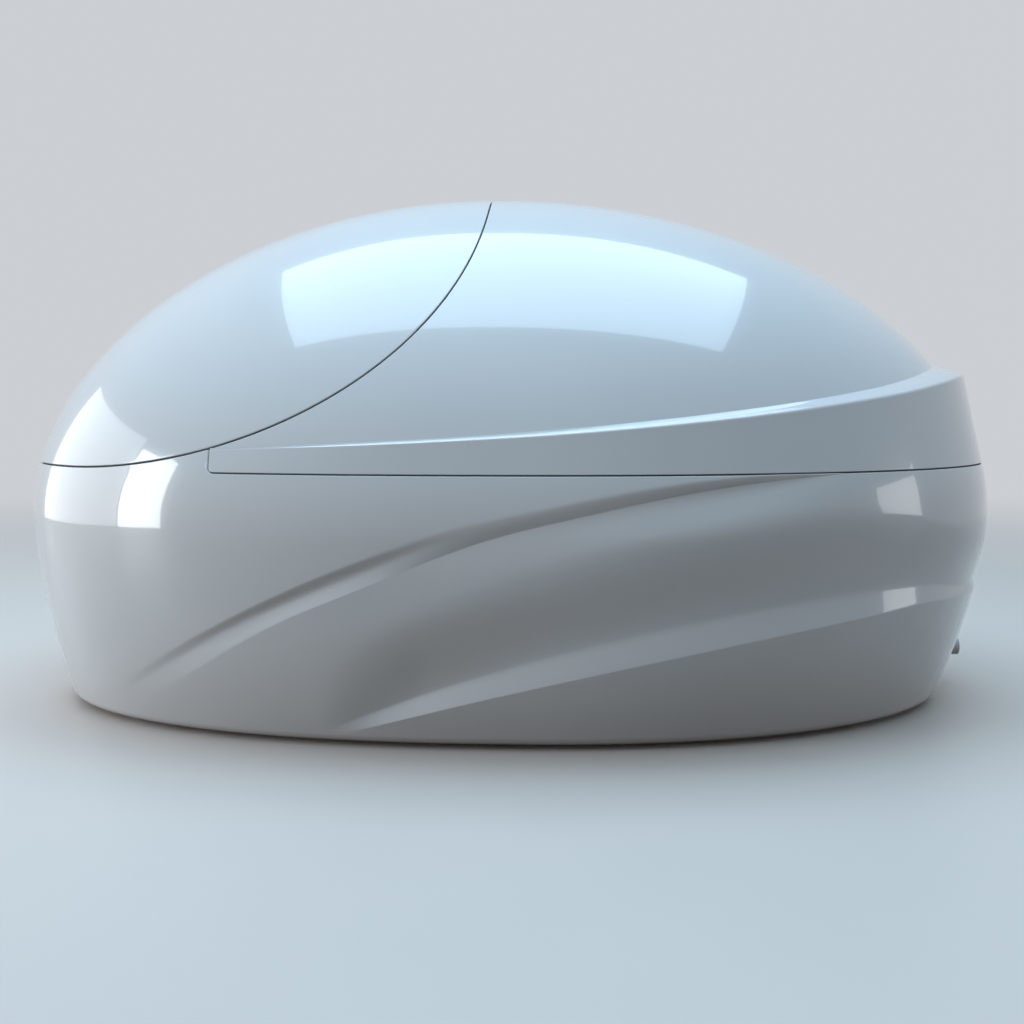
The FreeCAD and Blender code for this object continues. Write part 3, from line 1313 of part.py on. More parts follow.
def make_strut_rod():
    """Rod with its piston, eye and the pin that works in the lever."""
    base, run, length = strut_line()
    end = base + run * length
    piston = cylinder(PISTON_RADIUS, base + run * ROD_START, base + run * (ROD_START + PISTON_LENGTH))
    rod = cylinder(ROD_RADIUS, base + run * ROD_START, end - run * (EYE_RADIUS - 2.0))
    pin = cylinder(STRUT_PIN_RADIUS, end + Vector(0, EYE_THICKNESS / 2.0, 0),
                   end - Vector(0, STRUT_SIDE + LEVER_THICKNESS / 2.0 + 1.0, 0))
    return fuse([piston, rod, strut_eye(end), pin])


def make_door_handle(dome_inside):
    """Pull bar inside the door's foot end."""
    centre, front, _, _, _, _ = envelope(DOOR_HANDLE_Z, SHELL)
    wall = centre - front
    points = [Vector(wall + x, y, DOOR_HANDLE_Z)
              for x, y in ((-20.0, -DOOR_HANDLE_REACH), (55.0, -DOOR_HANDLE_REACH),
                           (55.0, DOOR_HANDLE_REACH), (-20.0, DOOR_HANDLE_REACH))]
    return pipe(points, 22.0, RAIL_RADIUS).common(dome_inside)


# ================================================================ build
def build():
    """Make every sub-part."""
    os.makedirs("parts", exist_ok=True)
    dome = dome_solid()
    dome_inside = dome_solid(SHELL)
    cavity = tub_solid(CASING_WALL, CASING_BOTTOM_Z + SOLE_THICKNESS, 740.0)
    holes = bolt_holes()

    casing = make_tub_casing(cavity)
    for cutter in holes + casing_ports():
        casing = casing.cut(cutter)
    export("tub_casing", casing)
    liner = make_pool_liner(cavity)
    export("pool_liner", liner)
    export("floor_insulation", make_floor_insulation())
    export("heater_mat", make_heater_mat())
    export("chassis_rails", make_chassis_rails())
    export("cross_members", make_cross_members())
    export("levelling_feet", make_levelling_feet())

    canopy = make_canopy_shell(dome, dome_inside)
    rim_seal = make_rim_seal()
    for hole in holes:
        canopy = canopy.cut(hole)
        rim_seal = rim_seal.cut(hole)
    export("canopy_shell", canopy)
    export("rim_seal", rim_seal)
    export("canopy_bolts", make_canopy_bolts())
    export("door_seal", make_door_seal(casing))
    export("ceiling_light", make_ceiling_light(dome_inside))
    export("vent_grille", make_vent_grille(dome_inside))

    export("door_shell", make_door_shell(dome, dome_inside))
    export("door_handle", make_door_handle(dome_inside))
    mirrored = {
        "hinge_bracket": make_hinge_bracket(dome_inside),
        "hinge_pin": make_hinge_pin(),
        "hinge_arm": make_hinge_arm(dome_inside),
        "strut_bracket": make_strut_bracket(dome_inside),
        "strut_cylinder": make_strut_cylinder(),
        "strut_rod": make_strut_rod(),
    }
    for name, shape in mirrored.items():
        export(f"{name}_left", shape)
        export(f"{name}_right", mirror(shape))

    export("service_hatch", make_service_hatch())
    export("equipment_rack", make_equipment_rack())
    export("circulation_pump", make_circulation_pump())
    export("pump_motor", make_pump_motor())
    export("filter_canister", make_filter_canister())
    export("filter_lid", make_filter_lid())
    export("inline_heater", make_inline_heater())
    export("uv_steriliser", make_uv_steriliser())
    export("control_box", make_control_box())
    export("suction_fitting", make_suction_fitting(liner))
    export("return_jets", make_return_jets(liner))
    export("suction_pipe", make_suction_pipe())
    export("pressure_pipe", make_pressure_pipe())
    export("heater_pipe", make_heater_pipe())
    export("lamp_pipe", make_lamp_pipe())
    export("return_pipe", make_return_pipe())
    export("drain_fitting", make_drain_fitting())
    export("drain_pipe", make_drain_pipe())
    export("drain_valve", make_drain_valve())
    export("drain_lever", make_drain_lever())
    export("drain_spigot", make_drain_spigot())
    export("cable_gland", make_cable_gland())

    export("button_bezels", make_button_bezels())
    light_y, call_y = button_places()
    export("light_button", make_button(light_y))
    export("call_button", make_button(call_y))
    export("underwater_lights", make_underwater_lights(liner))
    export("light_lenses", make_light_lenses(liner))
    export("entry_rails", make_entry_rails())


if __name__ == "__main__":
    build()
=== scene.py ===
"""Looks of the flotation tank: moulded shells, fittings, finishes and the studio round them."""

from __future__ import annotations

import json
import logging
import math
from collections.abc import Sequence
from dataclasses import dataclass, field
from enum import Enum

import bmesh
import bpy
import numpy as np
from mathutils import Matrix, Vector

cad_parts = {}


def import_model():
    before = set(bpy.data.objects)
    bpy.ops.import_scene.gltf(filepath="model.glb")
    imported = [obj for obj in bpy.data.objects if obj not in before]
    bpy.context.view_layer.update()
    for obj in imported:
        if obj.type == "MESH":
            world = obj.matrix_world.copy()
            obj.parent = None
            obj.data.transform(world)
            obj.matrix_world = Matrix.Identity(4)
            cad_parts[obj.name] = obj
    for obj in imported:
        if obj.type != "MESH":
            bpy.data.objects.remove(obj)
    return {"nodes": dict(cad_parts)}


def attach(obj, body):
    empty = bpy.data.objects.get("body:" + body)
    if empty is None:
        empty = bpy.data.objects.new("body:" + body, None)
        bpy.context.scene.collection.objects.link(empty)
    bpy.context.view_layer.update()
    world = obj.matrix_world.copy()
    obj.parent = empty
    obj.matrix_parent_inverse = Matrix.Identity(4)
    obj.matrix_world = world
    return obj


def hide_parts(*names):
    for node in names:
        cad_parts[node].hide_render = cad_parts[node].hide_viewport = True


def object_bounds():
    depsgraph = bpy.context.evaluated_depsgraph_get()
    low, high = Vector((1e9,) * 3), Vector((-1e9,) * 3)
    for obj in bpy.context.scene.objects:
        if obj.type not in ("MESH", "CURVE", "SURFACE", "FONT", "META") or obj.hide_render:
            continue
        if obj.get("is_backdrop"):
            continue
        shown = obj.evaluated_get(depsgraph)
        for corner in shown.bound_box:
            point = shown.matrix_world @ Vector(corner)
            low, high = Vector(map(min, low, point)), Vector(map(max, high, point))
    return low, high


LOG = logging.getLogger("flotation_tank")
# Rings across the rounded edge of a shell.
EDGE_RINGS = 5
# Where a finish's colour starts and ends to drift, and how far its roughness does.
DRIFT_ENDS = (0.3, 0.7)
GLOSS_SPREAD = (0.85, 1.2)
# A Mix node's colour sockets share their names with its other sockets, so they go by number.
MIX_COLOUR_A, MIX_COLOUR_B, MIX_COLOUR_RESULT = 6, 7, 2
Array = np.ndarray
Section = tuple[Array, Array, Array, Array, Array, Array]
Span = tuple[float, float]
Triple = tuple[float, float, float]
Tree = bpy.types.NodeTree
Node = bpy.types.Node
Socket = bpy.types.NodeSocket


# ------------------------------------------------------------------ small sums
def ease(share: Array) -> Array:
    """Smooth step of a share that is held between 0 and 1."""
    held = np.clip(share, 0.0, 1.0)
    return held * held * (3.0 - 2.0 * held)


def fade(value: Array, start: float, full: float) -> Array:
    """0 at start, 1 at full, smooth between."""
    return ease((np.asarray(value, float) - start) / (full - start))


def blend(start: Array, end: Array, share: Array) -> Array:
    """Values a share of the way from start to end."""
    return start + (end - start) * share


def unit(vectors: Array) -> Array:
    """Vectors of length one along the last axis."""
    return vectors / np.maximum(np.linalg.norm(vectors, axis=-1, keepdims=True), 1e-12)


def close_packed(count: int) -> Array:
    """Shares from 0 to 1 that crowd towards both ends."""
    return 0.5 - 0.5 * np.cos(np.linspace(0.0, math.pi, count))


def even_shares(points: Array, spacing: Array) -> Array:
    """Positions along a line of points that keep a wanted spacing.

    Args:
        points: the line's points, one row each.
        spacing: wanted distance between neighbours at each point.

    Returns:
        Fractional indices into the line, both ends among them.
    """
    runs = np.linalg.norm(np.diff(points, axis=0), axis=1)
    steps = runs / (0.5 * (spacing[1:] + spacing[:-1]))
    total = np.concatenate([[0.0], np.cumsum(steps)])
    count = int(math.ceil(total[-1])) + 1
    return np.interp(np.linspace(0.0, total[-1], count), total, np.arange(len(points)))


def run_shares(points: Array) -> Array:
    """Share of a line's whole length at each of its points."""
    run = np.concatenate([[0.0], np.cumsum(np.linalg.norm(np.diff(points, axis=0), axis=1))])
    return run / run[-1]


def pick(values: Array, places: Array) -> Array:
    """Values read at fractional indices."""
    return np.interp(places, np.arange(len(values)), values)


def smoothed(values: Array, reach: int) -> Array:
    """Running mean that keeps both ends where they are.

    Args:
        values: the values.
        reach: how many neighbours count on either side.

    Returns:
        The smoothed values, as many as came.
    """
    start = 2.0 * values[0] - values[1 : reach + 1][::-1]
    end = 2.0 * values[-1] - values[-reach - 1 : -1][::-1]
    padded = np.concatenate([start, values, end])
    return np.convolve(padded, np.ones(2 * reach + 1) / (2 * reach + 1), mode="valid")


def rim_of(section: Section, turn: Array, z: Array) -> Array:
    """Points of a plan section.

    Args:
        section: centre, front reach, rear reach, half width and the two exponents.
        turn: plan angle from the head end, negative on the near side.
        z: height.

    Returns:
        Points, with x, y and z along the last axis.
    """
    centre, front, rear, width, front_power, rear_power = section
    cosine, sine = np.cos(turn), np.sin(turn)
    reach = np.where(cosine > 0.0, rear, front)
    power = np.where(cosine > 0.0, rear_power, front_power)
    scale = (np.abs(cosine) ** power + np.abs(sine) ** power) ** (-1.0 / power)
    x = centre + reach * cosine * scale
    y = width * sine * scale
    return np.stack(np.broadcast_arrays(x, y, z), axis=-1)


def turn_of(section: Section, x: Array) -> Array:
    """Plan angle on the near side at which a section passes station x.

    Args:
        section: centre, reaches, half width and exponents.
        x: station or stations.

    Returns:
        Plan angle at each station, negative on the near side.
    """
    centre, front, rear, _, front_power, rear_power = section
    ahead = np.asarray(x) > centre
    power = np.where(ahead, rear_power, front_power)
    share = np.clip(np.abs(x - centre) / np.where(ahead, rear, front), 0.0, 1.0)
    across = np.maximum(1.0 - share**power, 0.0) ** (1.0 / power)
    return -np.arctan2(across, np.where(ahead, share, -share))


# ------------------------------------------------------------------ pod envelope
@dataclass(frozen=True)
class PodEnvelope:
    """Smooth egg of the pod, in metres."""

    half_length: float = 1.280
    half_width: float = 0.800
    height: float = 1.330
    belt_z: float = 0.500
    widest_x: float = 0.070
    apex_x: float = -0.040
    front_power: float = 2.34
    rear_power: float = 2.05
    apex_power: float = 2.29
    dome_power: float = 1.95
    shoulder_slim: float = 0.21
    foot_tuck: float = 0.077
    head_tuck: float = 0.119
    side_tuck: float = 0.141
    tuck_power: float = 1.66
    halvings: int = 38

    def section(self, z: Array, inset: Array | float = 0.0) -> Section:
        """Plan section at a height.

        Args:
            z: height or heights.
            inset: distance inside the skin.

        Returns:
            Centre, front reach, rear reach, half width and the two exponents.
        """
        z = np.asarray(z, float)
        tuck = np.clip((self.belt_z - z) / self.belt_z, 0.0, 1.0) ** self.tuck_power
        rise = np.clip((z - self.belt_z) / (self.height - inset - self.belt_z), 0.0, 1.0 - 1e-9)
        along = (1.0 - rise**self.dome_power) ** (1.0 / self.dome_power)
        across = np.sqrt(1.0 - rise * rise) * (1.0 - self.shoulder_slim * rise**1.5)
        shift = (self.apex_x - self.widest_x) * rise
        front = (self.half_length + self.widest_x - inset + shift) * along
        rear = (self.half_length - self.widest_x - inset - shift) * along
        width = (self.half_width - inset) * across
        change = rise**1.5
        return (
            self.widest_x + shift,
            front - self.foot_tuck * tuck,
            rear - self.head_tuck * tuck,
            width - self.side_tuck * tuck,
            blend(self.front_power, self.apex_power, change),
            blend(self.rear_power, self.apex_power, change),
        )

    def rim(self, turn: Array, z: Array, inset: Array | float = 0.0) -> Array:
        """Points of the skin at plan angles and heights."""
        return rim_of(self.section(z, inset), turn, z)

    def outside(self, points: Array, inset: float = 0.0) -> Array:
        """Negative inside the skin, positive outside.

        Args:
            points: points, coordinates last.
            inset: distance inside the skin.

        Returns:
            A number for each point that is 0 on the skin.
        """
        x, y, z = points[..., 0], points[..., 1], points[..., 2]
        centre, front, rear, width, front_power, rear_power = self.section(z, inset)
        power = np.where(x > centre, rear_power, front_power)
        reach = np.where(x > centre, rear, front)
        return (np.abs(x - centre) / reach) ** power + (np.abs(y) / width) ** power - 1.0

    def cast(self, origin: Array, directions: Array, inset: float = 0.0) -> Array:
        """Points where rays from inside meet the skin.

        Args:
            origin: a point inside the pod.
            directions: unit vectors.
            inset: distance inside the skin.

        Returns:
            One point for each direction.
        """
        near = np.zeros(directions.shape[:-1])
        far = np.full_like(near, 2.0 * self.half_length)
        for _ in range(self.halvings):
            middle = 0.5 * (near + far)
            inside = self.outside(origin + directions * middle[..., None], inset) < 0.0
            near = np.where(inside, middle, near)
            far = np.where(inside, far, middle)
        return origin + directions * near[..., None]

    def normal(self, points: Array) -> Array:
        """Outward normals of the skin at points on it.

        Args:
            points: points on the skin, coordinates last.

        Returns:
            One unit vector for each point.
        """
        step = 2e-5
        slopes = []
        for axis in range(3):
            shift = np.zeros(3)
            shift[axis] = step
            slopes.append(self.outside(points + shift) - self.outside(points - shift))
        return unit(np.stack(slopes, axis=-1))


@dataclass(frozen=True)
class DoorSeam:
    """Line that parts the door from the canopy and the tub's nose, in metres."""

    pod: PodEnvelope
    gap: float = 0.0035
    top_x: float = -0.045
    level_x: float = -1.060
    level_z: float = 0.636
    power: float = 2.13
    samples: int = 4001

    def curve(self, turn: Array, offset: float) -> tuple[Array, Array]:
        """Station and height along the seam's quarter curve.

        Args:
            turn: 0 at the top of the dome, a quarter turn where it runs level.
            offset: distance away from the door.

        Returns:
            Stations and heights.
        """
        cosine, sine = np.abs(np.cos(turn)), np.abs(np.sin(turn))
        scale = (cosine**self.power + sine**self.power) ** (-1.0 / self.power)
        x = self.level_x + (self.top_x - self.level_x + offset) * cosine * scale
        z = self.pod.height - (self.pod.height - self.level_z + offset) * sine * scale
        return x, np.minimum(z, self.pod.height - 1e-7)

    def on_skin(self, x: Array, z: Array) -> Array:
        """Near-side points of the skin at stations and heights."""
        section = self.pod.section(z)
        return rim_of(section, turn_of(section, x), z)

    def turn_at(self, x: float, offset: float) -> float:
        """Place along the quarter curve that passes station x.

        Args:
            x: the station.
            offset: distance away from the door.

        Returns:
            The place, as an angle from 0 to a quarter turn.
        """
        turns = np.linspace(0.0, 0.5 * math.pi, self.samples)
        stations, _ = self.curve(turns, offset)
        return float(np.interp(-x, -stations, turns))


# ------------------------------------------------------------------ mesh building
@dataclass
class SkinMesh:
    """Grids of points that are joined into one closed skin."""

    points: list[Array] = field(default_factory=list)
    faces: list[Array] = field(default_factory=list)
    exact: list[tuple[Array, Array]] = field(default_factory=list)
    count: int = 0

    def add(self, grid: Array, normals: Array | None = None) -> Array:
        """Take in points.

        Args:
            grid: points in any arrangement, coordinates last.
            normals: exact normals of the same points, where they are known.

        Returns:
            Index of each point, arranged as they came.
        """
        flat = grid.reshape(-1, 3)
        index = np.arange(self.count, self.count + len(flat)).reshape(grid.shape[:-1])
        self.points.append(flat)
        self.count += len(flat)
        if normals is not None:
            self.exact.append((index.ravel(), normals.reshape(-1, 3)))
        return index

    def weave(self, index: Array, closed: bool = False) -> None:
        """Faces between the rows and columns of an index grid.

        Args:
            index: places of the points, rows by columns.
            closed: whether the last column joins the first.
        """
        if closed:
            index = np.concatenate([index, index[:, :1]], axis=1)
        corners = (index[:-1, :-1], index[:-1, 1:], index[1:, 1:], index[1:, :-1])
        self.faces.append(np.stack(corners, axis=-1).reshape(-1, 4))

    def fan(self, loop: Array, tip: int) -> None:
        """Triangles from a closed loop to one point."""
        tips = np.full(len(loop), tip)
        self.faces.append(np.stack([loop, np.roll(loop, -1), tips], axis=-1))

    def build(self, name: str) -> bpy.types.Object:
        """Make the object.

        Args:
            name: name of the piece.

        Returns:
            The linked object, smooth shaded, its faces turned outward.
        """
        mesh = bpy.data.meshes.new(name)
        faces = [face for group in self.faces for face in group.tolist()]
        mesh.from_pydata(np.concatenate(self.points).tolist(), [], faces)
        work = bmesh.new()
        work.from_mesh(mesh)
        bmesh.ops.recalc_face_normals(work, faces=work.faces)
        for face in work.faces:
            face.smooth = True
        work.to_mesh(mesh)
        work.free()
        if self.exact:
            self._set_normals(mesh)
        piece = bpy.data.objects.new(name, mesh)
        bpy.context.scene.collection.objects.link(piece)
        return piece

    def _set_normals(self, mesh: bpy.types.Mesh) -> None:
        """Give the points with exact normals those normals, and the others their own.

        Args:
            mesh: the mesh made from these points.
        """
        normals = np.zeros(len(mesh.vertices) * 3, np.float32)
        mesh.vertex_normals.foreach_get("vector", normals)
        normals = normals.reshape(-1, 3)
        for index, exact in self.exact:
            sign = np.sign(np.sum(normals[index] * exact, axis=1, keepdims=True))
            normals[index] = exact * np.where(sign == 0.0, 1.0, sign)
        mesh.normals_split_custom_set_from_vertices(normals.tolist())


def grid_normals(grid: Array) -> Array:
    """Normals of a grid from the run of its rows and columns."""
    return unit(np.cross(np.gradient(grid, axis=1), np.gradient(grid, axis=0)))


def facing_out(normals: Array, points: Array) -> Array:
    """Normals turned away from the middle of the pod.

    Args:
        normals: unit vectors, either way round.
        points: the points that they stand on.

    Returns:
        The same vectors, turned round where they faced inward.
    """
    middle = np.array([0.0, 0.0, 0.5])
    side = np.sum(normals * (points - middle), axis=-1, keepdims=True)
    return normals * np.where(side < 0.0, -1.0, 1.0)


def rolled_rings(loop: Array, inner: Array, normals: Array, radius: float) -> Array:
    """Rounded edge round a closed loop of a skin.

    Args:
        loop: the skin's last points before the edge.
        inner: the points next to them inside the skin.
        normals: outward normals at the loop.
        radius: radius of the round.

    Returns:
        Rings from the loop outward and down, the loop itself left out.
    """
    along = unit(np.roll(loop, -1, axis=0) - np.roll(loop, 1, axis=0))
    normals = unit(normals - along * np.sum(normals * along, axis=1, keepdims=True))
    outward = loop - inner
    for axis in (normals, along):
        outward = outward - axis * np.sum(outward * axis, axis=1, keepdims=True)
    outward = unit(outward)
    rings = []
    for step in range(1, EDGE_RINGS + 1):
        angle = 0.5 * math.pi * step / EDGE_RINGS
        sunk = normals * (radius * (1.0 - math.cos(angle)))
        rings.append(loop + outward * (radius * math.sin(angle)) - sunk)
    return np.stack(rings)


def both_sides(near: Array, closed: bool = True) -> Array:
    """Rows of both sides from rows of the near side.

    Args:
        near: rows that end on the middle plane, and start on it where they close.
        closed: whether the whole rows are loops.

    Returns:
        The near side's points, then the far side's in mirrored order.
    """
    far = near[:, int(closed) : -1][:, ::-1] * np.array([1.0, -1.0, 1.0])
    return np.concatenate([near, far], axis=1)


def arcs_between(origin: Array, start: Array, end: Array, shares: Array) -> Array:
    """Directions that turn evenly from the start points to the end points, seen from origin.

    Args:
        origin: the point that they are seen from.
        start: first points.
        end: last points, as many.
        shares: shares of the way, one for each row.

    Returns:
        Unit vectors, rows by points.
    """
    first, last = unit(start - origin), unit(end - origin)
    angle = np.arccos(np.clip(np.sum(first * last, axis=-1), -1.0, 1.0))[None, :, None]
    share = shares[:, None, None]
    whole = np.maximum(np.sin(angle), 1e-9)
    turned = first * np.sin((1.0 - share) * angle) + last * np.sin(share * angle)
    return unit(turned / whole)


# ------------------------------------------------------------------ finishes
def add_node(
    tree: Tree,
    kind: str,
    values: dict[str | int, object] | None = None,
    links: dict[str | int, Socket] | None = None,
    **settings: str,
) -> Node:
    """Add a shader node.

    Args:
        tree: the nodes that it joins.
        kind: its type, without the prefix that all of them have.
        values: constants of its inputs.
        links: the outputs that its inputs are linked to.
        settings: its other properties.

    Returns:
        The new node.
    """
    node = tree.nodes.new(f"ShaderNode{kind}")
    for name, setting in settings.items():
        setattr(node, name, setting)
    for socket, value in (values or {}).items():
        node.inputs[socket].default_value = value
    for socket, source in (links or {}).items():
        tree.links.new(source, node.inputs[socket])
    return node


class Grain(Enum):
    """What the surface of a finish shows close up."""

    ORANGE_PEEL = "orange peel"
    CAST = "cast"
    BRUSHED = "brushed"
    POLISHED = "polished"
    FOAM = "foam"
    RIBBED = "ribbed"


@dataclass(frozen=True)
class Finish:
    """A procedural finish: colour, gloss, and the grain that the real surface shows."""

    name: str
    colour: Triple
    roughness: float = 0.3
    grain: Grain = Grain.CAST
    metallic: float = 0.0
    coat: float = 0.0
    coat_roughness: float = 0.04
    mottle: float = 0.03
    mottle_scale: float = 3.0
    bump: float = 0.1
    grain_scale: float = 900.0
    transmission: float = 0.0
    glow: float = 0.0
    ior: float = 1.5

    def material(self) -> bpy.types.Material:
        """Build the node material.

        Returns:
            The material, shared by every piece with this finish.
        """
        known = bpy.data.materials.get(self.name)
        if known is not None:
            return known
        made = bpy.data.materials.new(self.name)
        made.use_nodes = True
        tree = made.node_tree
        shader = tree.nodes["Principled BSDF"]
        self._set_constants(shader)
        place = add_node(tree, "TexCoord").outputs["Object"]
        self._colour_nodes(tree, shader, place)
        self._grain_nodes(tree, shader, place)
        made.diffuse_color = (*self.colour, 1.0)
        return made

    def _set_constants(self, shader: Node) -> None:
        """Write the values that are the same all over.

        Args:
            shader: the material's shader.
        """
        values = {
            "Metallic": self.metallic,
            "Coat Weight": self.coat,
            "Coat Roughness": self.coat_roughness,
            "Transmission Weight": self.transmission,
            "IOR": self.ior,
            "Emission Strength": self.glow,
        }
        for socket, value in values.items():
            shader.inputs[socket].default_value = value
        if self.glow:
            shader.inputs["Emission Color"].default_value = (*self.colour, 1.0)

    def _noise(
        self, tree: Tree, place: Socket, scale: float, detail: float
    ) -> Socket:
        """Noise of a scale, in turns a metre.

        Args:
            tree: the material's nodes.
            place: where the texture is read.
            scale: turns a metre.
            detail: octaves.

        Returns:
            The noise's value.
        """
        values = {"Scale": scale, "Detail": detail}
        return add_node(tree, "TexNoise", values, {"Vector": place}).outputs[0]

    def _colour_nodes(
        self, tree: Tree, shader: Node, place: Socket
    ) -> None:
        """Let the colour and the gloss drift a little over the piece.

        Args:
            tree: the nodes that it works on.
            shader: the material's shader.
            place: where the textures are read.
        """
        shades = (
            [max(part * (1.0 - self.mottle), 0.0) for part in self.colour],
            [min(part * (1.0 + 0.5 * self.mottle), 1.0) for part in self.colour],
        )
        drift = self._noise(tree, place, self.mottle_scale, 3.0)
        ramp = add_node(tree, "ValToRGB", links={0: drift})
        for element, position, shade in zip(ramp.color_ramp.elements, DRIFT_ENDS, shades):
            element.position = position
            element.color = (*shade, 1.0)
        tree.links.new(ramp.outputs[0], shader.inputs["Base Color"])
        finer = self._noise(tree, place, self.mottle_scale * 4.0, 4.0)
        least, most = (self.roughness * share for share in GLOSS_SPREAD)
        limits = {"To Min": least, "To Max": min(most, 1.0)}
        gloss = add_node(tree, "MapRange", limits, {"Value": finer})
        tree.links.new(gloss.outputs[0], shader.inputs["Roughness"])

    def _grain_nodes(
        self, tree: Tree, shader: Node, place: Socket
    ) -> None:
        """Raise the grain with a bump.

        Args:
            tree: the nodes that it works on.
            shader: the material's shader.
            place: where the textures are read.
        """
        stretch = {Grain.BRUSHED: (0.04, 1.0, 1.0), Grain.RIBBED: (1.0, 1.0, 0.1)}
        scale = {"Scale": stretch.get(self.grain, (1.0, 1.0, 1.0))}
        spot = add_node(tree, "Mapping", scale, {"Vector": place}).outputs[0]
        if self.grain is Grain.FOAM:
            cells = add_node(tree, "TexVoronoi", {"Scale": self.grain_scale}, {"Vector": spot})
            height = cells.outputs[0]
        else:
            height = self._noise(tree, spot, self.grain_scale, 2.0)
        strength = {"Strength": self.bump, "Distance": 0.25 / self.grain_scale}
        bump = add_node(tree, "Bump", strength, {"Height": height})
        tree.links.new(bump.outputs[0], shader.inputs["Normal"])


@dataclass(frozen=True)
class FinishCard:
    """Every finish on the pod."""

    gelcoat: Finish = Finish(
        "white_gelcoat", (0.80, 0.825, 0.85), 0.16, Grain.ORANGE_PEEL, coat=1.0,
        coat_roughness=0.015, mottle=0.02, mottle_scale=2.0, bump=0.012, grain_scale=160.0,
    )
    pool: Finish = Finish(
        "pool_gelcoat", (0.78, 0.83, 0.87), 0.22, Grain.ORANGE_PEEL, coat=0.8, coat_roughness=0.05,
        bump=0.02, grain_scale=180.0,
    )
    hatch: Finish = Finish("hatch_plastic", (0.77, 0.79, 0.81), 0.38, coat=0.2, bump=0.12)
    foam: Finish = Finish(
        "insulation_foam", (0.80, 0.70, 0.46), 0.9, Grain.FOAM, mottle=0.12, mottle_scale=14.0,
        bump=0.6, grain_scale=260.0,
    )
    mat: Finish = Finish(
        "heating_mat", (0.23, 0.055, 0.04), 0.62, Grain.RIBBED, mottle=0.1, bump=0.4,
        grain_scale=320.0,
    )
    powder: Finish = Finish(
        "powder_coat", (0.16, 0.17, 0.19), 0.5, mottle=0.08, mottle_scale=9.0, bump=0.3,
        grain_scale=1100.0,
    )
    zinc: Finish = Finish(
        "zinc_plate", (0.60, 0.61, 0.62), 0.34, Grain.BRUSHED, metallic=1.0, mottle=0.16,
        mottle_scale=24.0, bump=0.16, grain_scale=700.0,
    )
    rubber: Finish = Finish(
        "seal_rubber", (0.022, 0.023, 0.025), 0.62, mottle=0.2, mottle_scale=12.0, bump=0.2,
    )
    steel: Finish = Finish(
        "brushed_stainless", (0.62, 0.63, 0.64), 0.26, Grain.BRUSHED, metallic=1.0, mottle=0.06,
        mottle_scale=16.0,
    )
    polished: Finish = Finish(
        "polished_stainless", (0.72, 0.73, 0.75), 0.09, Grain.POLISHED, metallic=1.0,
        mottle_scale=10.0, bump=0.02, grain_scale=500.0,
    )
    opal: Finish = Finish(
        "opal_lamp", (0.93, 0.94, 0.93), 0.35, mottle=0.02, bump=0.03, grain_scale=500.0, glow=0.35,
    )
    vent: Finish = Finish(
        "vent_plastic", (0.74, 0.76, 0.78), 0.45, mottle=0.04, bump=0.16, grain_scale=1200.0,
    )
    black_plastic: Finish = Finish(
        "black_moulding", (0.025, 0.026, 0.028), 0.48, mottle=0.15, mottle_scale=18.0, bump=0.3,
        grain_scale=1000.0,
    )
    motor: Finish = Finish(
        "motor_paint", (0.09, 0.105, 0.13), 0.36, coat=0.3, mottle=0.1, mottle_scale=12.0,
        bump=0.22, grain_scale=800.0,
    )
    canister: Finish = Finish(
        "canister_plastic", (0.08, 0.105, 0.14), 0.42, mottle=0.1, mottle_scale=10.0, bump=0.2,
    )
    enclosure: Finish = Finish(
        "enclosure_plastic", (0.56, 0.57, 0.58), 0.5, mottle=0.04, bump=0.25, grain_scale=1100.0,
    )
    fitting: Finish = Finish(
        "white_fitting", (0.74, 0.77, 0.79), 0.3, coat=0.3, mottle=0.04, bump=0.08,
    )
    pipe: Finish = Finish(
        "white_pipe", (0.66, 0.68, 0.70), 0.4, Grain.RIBBED, mottle=0.05, mottle_scale=8.0,
        bump=0.06, grain_scale=600.0,
    )
    valve: Finish = Finish("valve_body", (0.17, 0.18, 0.20), 0.45, mottle=0.08, bump=0.2)
    housing: Finish = Finish("lamp_housing", (0.11, 0.115, 0.125), 0.4, mottle=0.06, bump=0.15)
    glass: Finish = Finish(
        "lamp_glass", (0.86, 0.94, 0.97), 0.06, Grain.POLISHED, mottle=0.02, bump=0.02,
        grain_scale=300.0, transmission=0.85, ior=1.45,
    )
    black_paint: Finish = Finish(
        "black_paint", (0.018, 0.018, 0.02), 0.28, coat=0.5, mottle=0.1, bump=0.08,
        grain_scale=700.0,
    )
    chrome: Finish = Finish(
        "ground_chrome", (0.78, 0.79, 0.80), 0.05, Grain.BRUSHED, metallic=1.0, mottle=0.02,
        mottle_scale=20.0, bump=0.02, grain_scale=1200.0,
    )
    blue_button: Finish = Finish(
        "light_button", (0.45, 0.68, 0.82), 0.22, coat=0.6, mottle=0.04, bump=0.05,
    )
    red_button: Finish = Finish(
        "call_button", (0.62, 0.035, 0.02), 0.24, coat=0.6, mottle=0.06, bump=0.05,
    )
    red_paint: Finish = Finish(
        "lever_paint", (0.50, 0.02, 0.014), 0.4, coat=0.2, mottle=0.1, mottle_scale=30.0, bump=0.2,
    )


# ------------------------------------------------------------------ sub-assemblies
@dataclass
class SubAssembly:
    """What every sub-assembly shares: dressing nodes and finishing new pieces."""

    card: FinishCard
    nodes: dict[str, bpy.types.Object]

    def dress(self, finishes: dict[str, Finish]) -> None:
        """Give carried-over nodes their finishes.

        Args:
            finishes: the finish of each node, by the node's name.
        """
        for name, finish in finishes.items():
            node = self.nodes[name]
            node.data.materials.clear()
            node.data.materials.append(finish.material())
            LOG.info("dressed %s in %s", name, finish.name)


